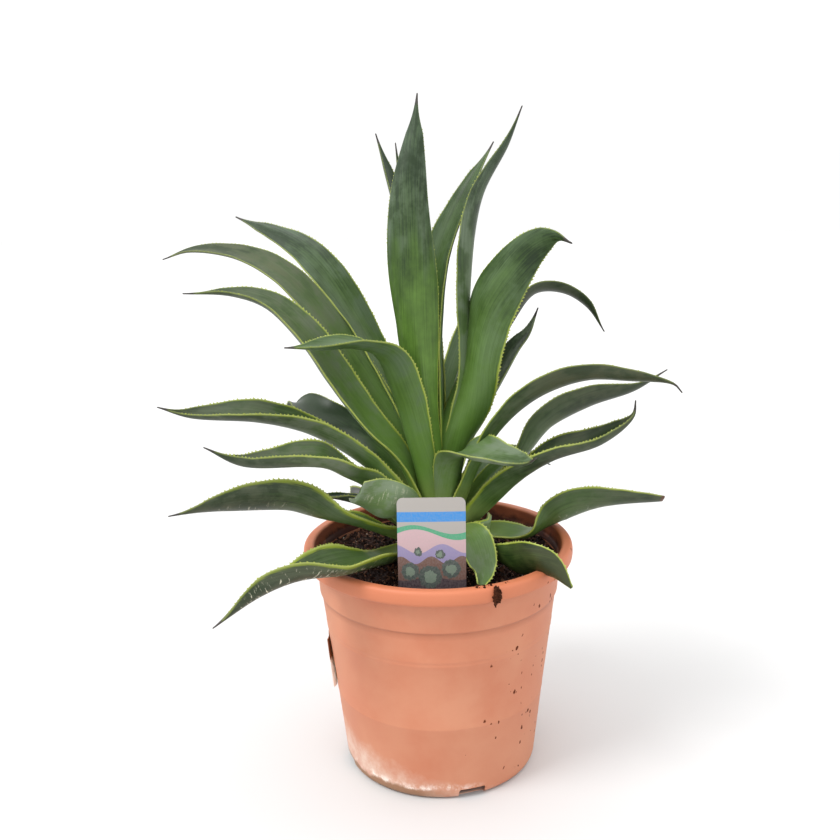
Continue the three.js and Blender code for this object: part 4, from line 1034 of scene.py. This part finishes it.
proportions = add(small_hooks, "CombineXYZ", (given["Width"], 0.6, 1.0))
scale = add(small_hooks, "Math", (grown_size, size), operation="MULTIPLY")
scaled = add(small_hooks, "VectorMath", {0: proportions, "Scale": scale}, operation="SCALE")
placed = add(small_hooks, "GeometryNodeInstanceOnPoints", {
    "Points": given["Geometry"], "Instance": hook, "Rotation": lengthways, "Scale": scaled,
})
real = add(small_hooks, "GeometryNodeRealizeInstances", {0: placed})
coated = add(small_hooks, "GeometryNodeSetMaterial", {0: real, "Material": given["Material"]})
plug(result, (coated,))
carrier = new_piece("tooth roots", [tuple(root) for root in tooth_roots], [], tooth_horn)
with_values(carrier, {"aim": tooth_aims, "run": tooth_runs})
sizes = carrier.data.attributes.new("size", "FLOAT", "POINT")
sizes.data.foreach_set("value", [size / 1000 for size in tooth_sizes])
teeth = grown("leaf_teeth", carrier, small_hooks, {
    "Width": 1.7, "Least": 0.6, "Seed": 3, "Material": tooth_horn,
})
teeth.data.set_sharp_from_angle(angle=math.radians(40))

# Spear: the youngest leaves, still rolled round each other in a pointed bud as thick as a
# thumb. A tube with three overlapping leaf margins that wind up it.
SPEAR_PATH = ((0, 0, 312.6), (-6, 1, 360), (-15, 5, 430), (-24, 9, 495), (-30, 12, 549))
SPEAR_RADIUS = (5, 8.5, 9, 8, 6.5, 4.5, 2.4, 0.5)
SPEAR_SIDES = 60
SPEAR_SEAMS = (0.2, 2.4, 4.3)
SPEAR_SEAM_TURNS = 0.35
SPEAR_SEAM_STEP = 0.8

points, tangents, distance = even_steps(smooth_path(SPEAR_PATH), 3)
share = distance / distance[-1]
radii = along(SPEAR_RADIUS, share)
rings, arcs, insets = [], [], []
for i, (point, tangent) in enumerate(zip(points, tangents)):
    first = np.cross(tangent, (0, 1, 0))
    first = first / np.linalg.norm(first)
    second = np.cross(tangent, first)
    for k in range(SPEAR_SIDES):
        a = 2 * math.pi * k / SPEAR_SIDES
        turned_by = a - 2 * math.pi * SPEAR_SEAM_TURNS * share[i]
        past = min((turned_by - seam) % (2 * math.pi) for seam in SPEAR_SEAMS)
        lift = SPEAR_SEAM_STEP * math.exp(-past * 1.6) * min(1, radii[i] / 5)
        radius = radii[i] - 0.4 * min(1, radii[i] / 5) + lift
        rings.append(point + radius * (first * math.cos(a) + second * math.sin(a)))
        arcs.append(radii[i] * a)
        insets.append(past * radii[i])
rings += [points[0], points[-1] + tangents[-1]]
count = len(points)
faces = between_rings(count, SPEAR_SIDES)
last = (count - 1) * SPEAR_SIDES
for k in range(SPEAR_SIDES):
    n = (k + 1) % SPEAR_SIDES
    faces.append((count * SPEAR_SIDES, n, k))
    faces.append((count * SPEAR_SIDES + 1, last + k, last + n))
spear = new_piece("rolled_spear", [tuple(p) for p in rings], faces, agave_skin)
arcs = np.array(arcs + [0, 0]) / 1000
insets = np.array(insets + [9, 9]) / 1000
up = np.concatenate([np.repeat(distance, SPEAR_SIDES), [0, distance[-1]]]) / 1000
ones = np.ones(len(arcs))
with_values(spear, {
    "blade": np.stack([arcs, up + 0.05, ones * 77], -1),
    "edge": np.stack([insets, ones * 0.0008, up[-1] - up], -1),
    "finish": np.outer(ones, (0.75, 0.4, 0)),
    "wear": np.outer(ones, (0, 0, 0)),
})
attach(spear, "root")
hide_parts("spear")

# Plant label: a die-cut card of grey polypropylene sheet, 0.9 mm thick, with a pointed stake
# pushed into the soil. It is printed on the front: a blank blue band over a garden picture.
LABEL_WIDTH = 56
LABEL_TOP = 270
LABEL_SHOULDER = 176
LABEL_SHOULDER_RISE = 14
LABEL_POINT = 150
LABEL_POINT_LENGTH = 12
LABEL_BENDS = (
    LABEL_POINT, LABEL_POINT + LABEL_POINT_LENGTH, LABEL_SHOULDER, LABEL_SHOULDER + LABEL_SHOULDER_RISE,
)
LABEL_THICKNESS = 0.9
LABEL_CORNER = 5
LABEL_STAKE_WIDTH = 16
LABEL_PLACE = (-5, -78)
LABEL_LEAN_DEGREES = 3
LABEL_BOW = 0.5
LABEL_COLUMNS = 20

# Printed plastic sheet: satin, so it shows a broad soft sheen, with flat screen-printed inks
PRINT_COLOURS = {
    "card": "#a5a09b", "band": "#2a84cc", "stripe": "#3f9a72", "sky": "#c2a3a8", "far": "#8d83ab",
    "near": "#6b4c42", "ground": "#3a2c35", "shrub": "#3f4d48", "leaf light": "#8ca38c",
}
printed_sheet, tree, shader = new_material("printed plastic sheet", {"Roughness": 0.42})
print_place = add(tree, "UVMap", uv_map="print").outputs[0]
across, up, _ = add(tree, "SeparateXYZ", (print_place,)).outputs

# The picture's layers, from the back: middle, swell, waves and phase of each upper edge
PRINT_LAYERS = (
    (0.665, 0.05, 5.2, 0.4, "stripe"),
    (0.61, 0.06, 5.0, 0.3, "sky"),
    (0.46, 0.05, 9.0, 2.0, "far"),
    (0.34, 0.04, 14.0, 1.0, "near"),
    (0.14, 0.02, 8.0, 4.0, "ground"),
)
SHRUBS = (
    (0.18, 0.22, 0.13), (0.47, 0.16, 0.17), (0.78, 0.24, 0.14), (0.62, 0.40, 0.07), (0.30, 0.43, 0.06),
)
BAND_FROM = 0.7475
BAND_TO = 0.8525
inks = []
for middle, swell, waves, phase, name in PRINT_LAYERS:
    angle = add(tree, "Math", (across, waves, phase), operation="MULTIPLY_ADD")
    sine = add(tree, "Math", (angle,), operation="SINE")
    line = add(tree, "Math", (sine, swell, middle), operation="MULTIPLY_ADD")
    inks.append((add(tree, "Math", (up, line), operation="LESS_THAN"), name))
# Shrubs: ragged discs with a paler middle
rough_print = add(tree, "TexNoise", {"Vector": print_place, "Scale": 22, "Detail": 4})
for x, y, radius in SHRUBS:
    apart = add(tree, "VectorMath", (print_place, (x, y, 0)), operation="SUBTRACT")
    apart = add(tree, "VectorMath", (apart, (1, 1.4, 0)), operation="MULTIPLY")
    away = add(tree, "VectorMath", (apart,), operation="LENGTH")
    away = add(tree, "Math", (rough_print, 0.09, away), operation="MULTIPLY_ADD")
    for reach, share, name in ((radius, 1, "shrub"), (radius * 0.55, 0.5, "leaf light")):
        inked = add(tree, "Math", (away, reach + 0.045), operation="LESS_THAN")
        inks.append((add(tree, "Math", (inked, share), operation="MULTIPLY"), name))
above = add(tree, "Math", (up, BAND_FROM), operation="GREATER_THAN")
under = add(tree, "Math", (up, BAND_TO), operation="LESS_THAN")
inks.append((add(tree, "Math", (above, under), operation="MULTIPLY"), "band"))
# The print is a little worn: its inks are mottled at 2 mm
worn = add(tree, "TexNoise", {"Vector": print_place, "Scale": 40, "Detail": 3})
inks.append((add(tree, "MapRange", (worn, 0.3, 0.75, 0, 0.25)), "card"))
colour = PRINT_COLOURS["card"]
for share, name in inks:
    colour = add(tree, "Mix", {0: share, 6: colour, 7: PRINT_COLOURS[name]}, data_type="RGBA")
plug(shader, (colour,))
# The back and the edges are the bare sheet
bare_sheet, _, _ = new_material("bare plastic sheet", {
    "Base Color": PRINT_COLOURS["card"], "Roughness": 0.5,
})


def label_half_width(height):
    """Half the label's width at a height: stake, shoulders, card and round top corners."""
    stake, half = LABEL_STAKE_WIDTH / 2, LABEL_WIDTH / 2
    width = np.interp(height, LABEL_BENDS, (0.4, stake, stake, half))
    into_corner = height - (LABEL_TOP - LABEL_CORNER)
    if into_corner > 0:
        width += math.sqrt(max(LABEL_CORNER**2 - into_corner**2, 0)) - LABEL_CORNER
    return width


corner_heights = [LABEL_TOP - LABEL_CORNER * (1 - math.sin(math.radians(a))) for a in range(0, 91, 9)]
heights = [*LABEL_BENDS, *(196 + 6 * k for k in range(12)), *corner_heights]
lean = math.radians(LABEL_LEAN_DEGREES)
card_up = Vector((0, math.sin(lean), math.cos(lean)))
card_front = Vector((0, -math.cos(lean), math.sin(lean)))
foot = Vector((*LABEL_PLACE, SOIL_TOP))
points, flat = [], []
for height in heights:
    half = label_half_width(height)
    for face in (1, -1):
        for k in range(LABEL_COLUMNS + 1):
            x = half * (2 * k / LABEL_COLUMNS - 1) * face
            bow = LABEL_BOW * (0.5 - (x / (LABEL_WIDTH / 2)) ** 2)
            rim = 0.75 if k in (0, LABEL_COLUMNS) else 1
            place = foot + Vector((x, 0, 0)) + card_up * (height - SOIL_TOP)
            points.append(place + card_front * (face * rim * LABEL_THICKNESS / 2 + bow))
            flat.append((0.5 + x / LABEL_WIDTH, (height - SOIL_TOP) / (LABEL_TOP - SOIL_TOP)))
ring = 2 * (LABEL_COLUMNS + 1)
faces = [tuple(range(ring))[::-1], *between_rings(len(heights), ring)]
faces.append(tuple(range((len(heights) - 1) * ring, len(heights) * ring)))
label = new_piece("plant_label", points, faces, bare_sheet)
label.data.materials.append(printed_sheet)
print_map = label.data.uv_layers.new(name="print")
for face in label.data.polygons:
    columns = [v % ring for v in face.vertices]
    if face.loop_total == 4 and max(columns) <= LABEL_COLUMNS:
        face.material_index = 1
    for loop in face.loop_indices:
        print_map.data[loop].uv = flat[label.data.loops[loop].vertex_index]
label.data.set_sharp_from_angle(angle=math.radians(40))
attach(label, "root")
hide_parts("label")

# Sticker: a worn paper patch glued to the left of the pot's wall. Its front edge has come
# loose and curls outwards, and its upper part has gone brown.
STICKER_AZIMUTHS = (170, 194)
STICKER_HEIGHTS = (74, 122)
STICKER_THICKNESS = 0.5
STICKER_CURL = 4
STICKER_COLUMNS = 28
STICKER_ROWS = 30

# Uncoated paper: cream, matt and thin enough to let light through, stained brown by water
sticker_paper, tree, shader = new_material("weathered sticker paper", {
    "Roughness": 0.85, "Specular IOR Level": 0.2,
    "Subsurface Weight": 0.8, "Subsurface Radius": (1, 0.9, 0.8), "Subsurface Scale": 0.001,
})
place = add(tree, "TexCoord").outputs["Object"]
height = add(tree, "SeparateXYZ", (place,)).outputs[2]
blotch = add(tree, "TexNoise", {"Vector": place, "Scale": 110, "Detail": 6, "Roughness": 0.7})
stain_line = add(tree, "Math", (blotch, 0.03, height), operation="MULTIPLY_ADD")
stained = add(tree, "MapRange", (stain_line, 0.112, 0.118))
paper = "#ffffff"
for share, colour in ((blotch, "#ece2cf"), (stained, "#8a5f43")):
    paper = add(tree, "Mix", {0: share, 6: paper, 7: colour}, data_type="RGBA")
plug(shader, (paper,))
points = []
ring = 2 * (STICKER_COLUMNS + 1)
for row in range(STICKER_ROWS + 1):
    v = row / STICKER_ROWS
    inner, outer = [], []
    for k in range(STICKER_COLUMNS + 1):
        u = k / STICKER_COLUMNS
        azimuth = STICKER_AZIMUTHS[0] + (STICKER_AZIMUTHS[1] - STICKER_AZIMUTHS[0]) * u
        if k in (0, STICKER_COLUMNS):
            azimuth += 0.5 * noise.noise((v * 9, 3 if u > 0.5 else 8, 0))
        azimuth = math.radians(azimuth)
        height = STICKER_HEIGHTS[0] + (STICKER_HEIGHTS[1] - STICKER_HEIGHTS[0]) * v
        lift = 0.3 + STICKER_CURL * max(0, (u - 0.78) / 0.22) ** 2 * (1 - 0.4 * v)
        lift += 0.12 * noise.noise((u * 7, v * 9, 2))
        for side, reach in ((inner, 0), (outer, STICKER_THICKNESS)):
            radius = outer_radius(height) + lift + reach
            side.append((radius * math.cos(azimuth), radius * math.sin(azimuth), height))
    points += outer + inner[::-1]
faces = [*between_rings(STICKER_ROWS + 1, ring), tuple(range(ring))[::-1]]
faces.append(tuple(range(STICKER_ROWS * ring, (STICKER_ROWS + 1) * ring)))
sticker = new_piece("paper_sticker", points, faces, sticker_paper)
sticker.data.set_sharp_from_angle(angle=math.radians(40))
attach(sticker, "root")
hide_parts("sticker")

# Rim soil: a lump of the potting soil that has dried onto the rim, right of the middle of the
# front, with a trail of crumbs on the rim beside it.
CLUMP_AZIMUTH = 292.5
CLUMP_RADIUS = 120
CLUMP_HEIGHT = 200.5
CLUMP_SIZE = (3, 3, 7.5)
CRUMB_AZIMUTHS = (284, 300)

# Dried soil: dull, red-brown and crumbly, a little lighter than the damp soil in the pot
dried_soil, tree, shader = new_material("dried potting soil", {
    "Roughness": 0.95, "Specular IOR Level": 0.1,
})
place = add(tree, "TexCoord").outputs["Object"]
clods = add(tree, "TexNoise", {"Vector": place, "Scale": 700, "Detail": 4, "Roughness": 0.7})
uneven = add(tree, "MapRange", (clods, 0.35, 0.65))
plug(shader, {
    "Base Color": add(tree, "Mix", {0: uneven, 6: "#1c0c07", 7: "#55301f"}, data_type="RGBA"),
    "Normal": add(tree, "Bump", {"Height": clods, "Strength": 0.7, "Distance": 0.0008}),
})

shape = bmesh.new()
bmesh.ops.create_icosphere(shape, subdivisions=5, radius=1)
azimuth = math.radians(CLUMP_AZIMUTH)
stand = Matrix.Rotation(azimuth, 4, "Z") @ Matrix.Translation((CLUMP_RADIUS, 0, CLUMP_HEIGHT))
for vertex in shape.verts:
    lumps = 0.75 * noise.noise(vertex.co * 1.7) + 0.35 * noise.noise(vertex.co * 5)
    vertex.co = stand @ Vector([c * s * (0.85 + lumps) for c, s in zip(vertex.co, CLUMP_SIZE)])
points = [tuple(vertex.co) for vertex in shape.verts]
faces = [tuple(vertex.index for vertex in face.verts) for face in shape.faces]
shape.free()
clump = new_piece("rim_soil", points, faces, dried_soil)
carriers = {"clump_crumbs": new_object("clump carrier", clump.data.copy())}
crumb_step = (CRUMB_AZIMUTHS[1] - CRUMB_AZIMUTHS[0]) / 30
arc = [math.radians(CRUMB_AZIMUTHS[0] + k * crumb_step) for k in range(31)]
points = [(r * math.cos(a), r * math.sin(a), POT_HEIGHT - 0.2) for a in arc for r in (111, 118)]
faces = [(2 * k, 2 * k + 1, 2 * k + 3, 2 * k + 2) for k in range(30)]
carriers["rim_crumbs"] = new_piece("rim strip", points, faces, dried_soil)
for name, density in (("clump_crumbs", 420000), ("rim_crumbs", 80000)):
    bits = grown(name, carriers[name], loose_bits, {
        "Per square metre": density, "Smallest": 0.0004, "Largest": 0.0014,
        "Stretch": 1.2, "Knock": 0.0008, "Seed": 21, "Material": dried_soil,
    })
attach(clump, "root")
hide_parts("rim_soil_clump")
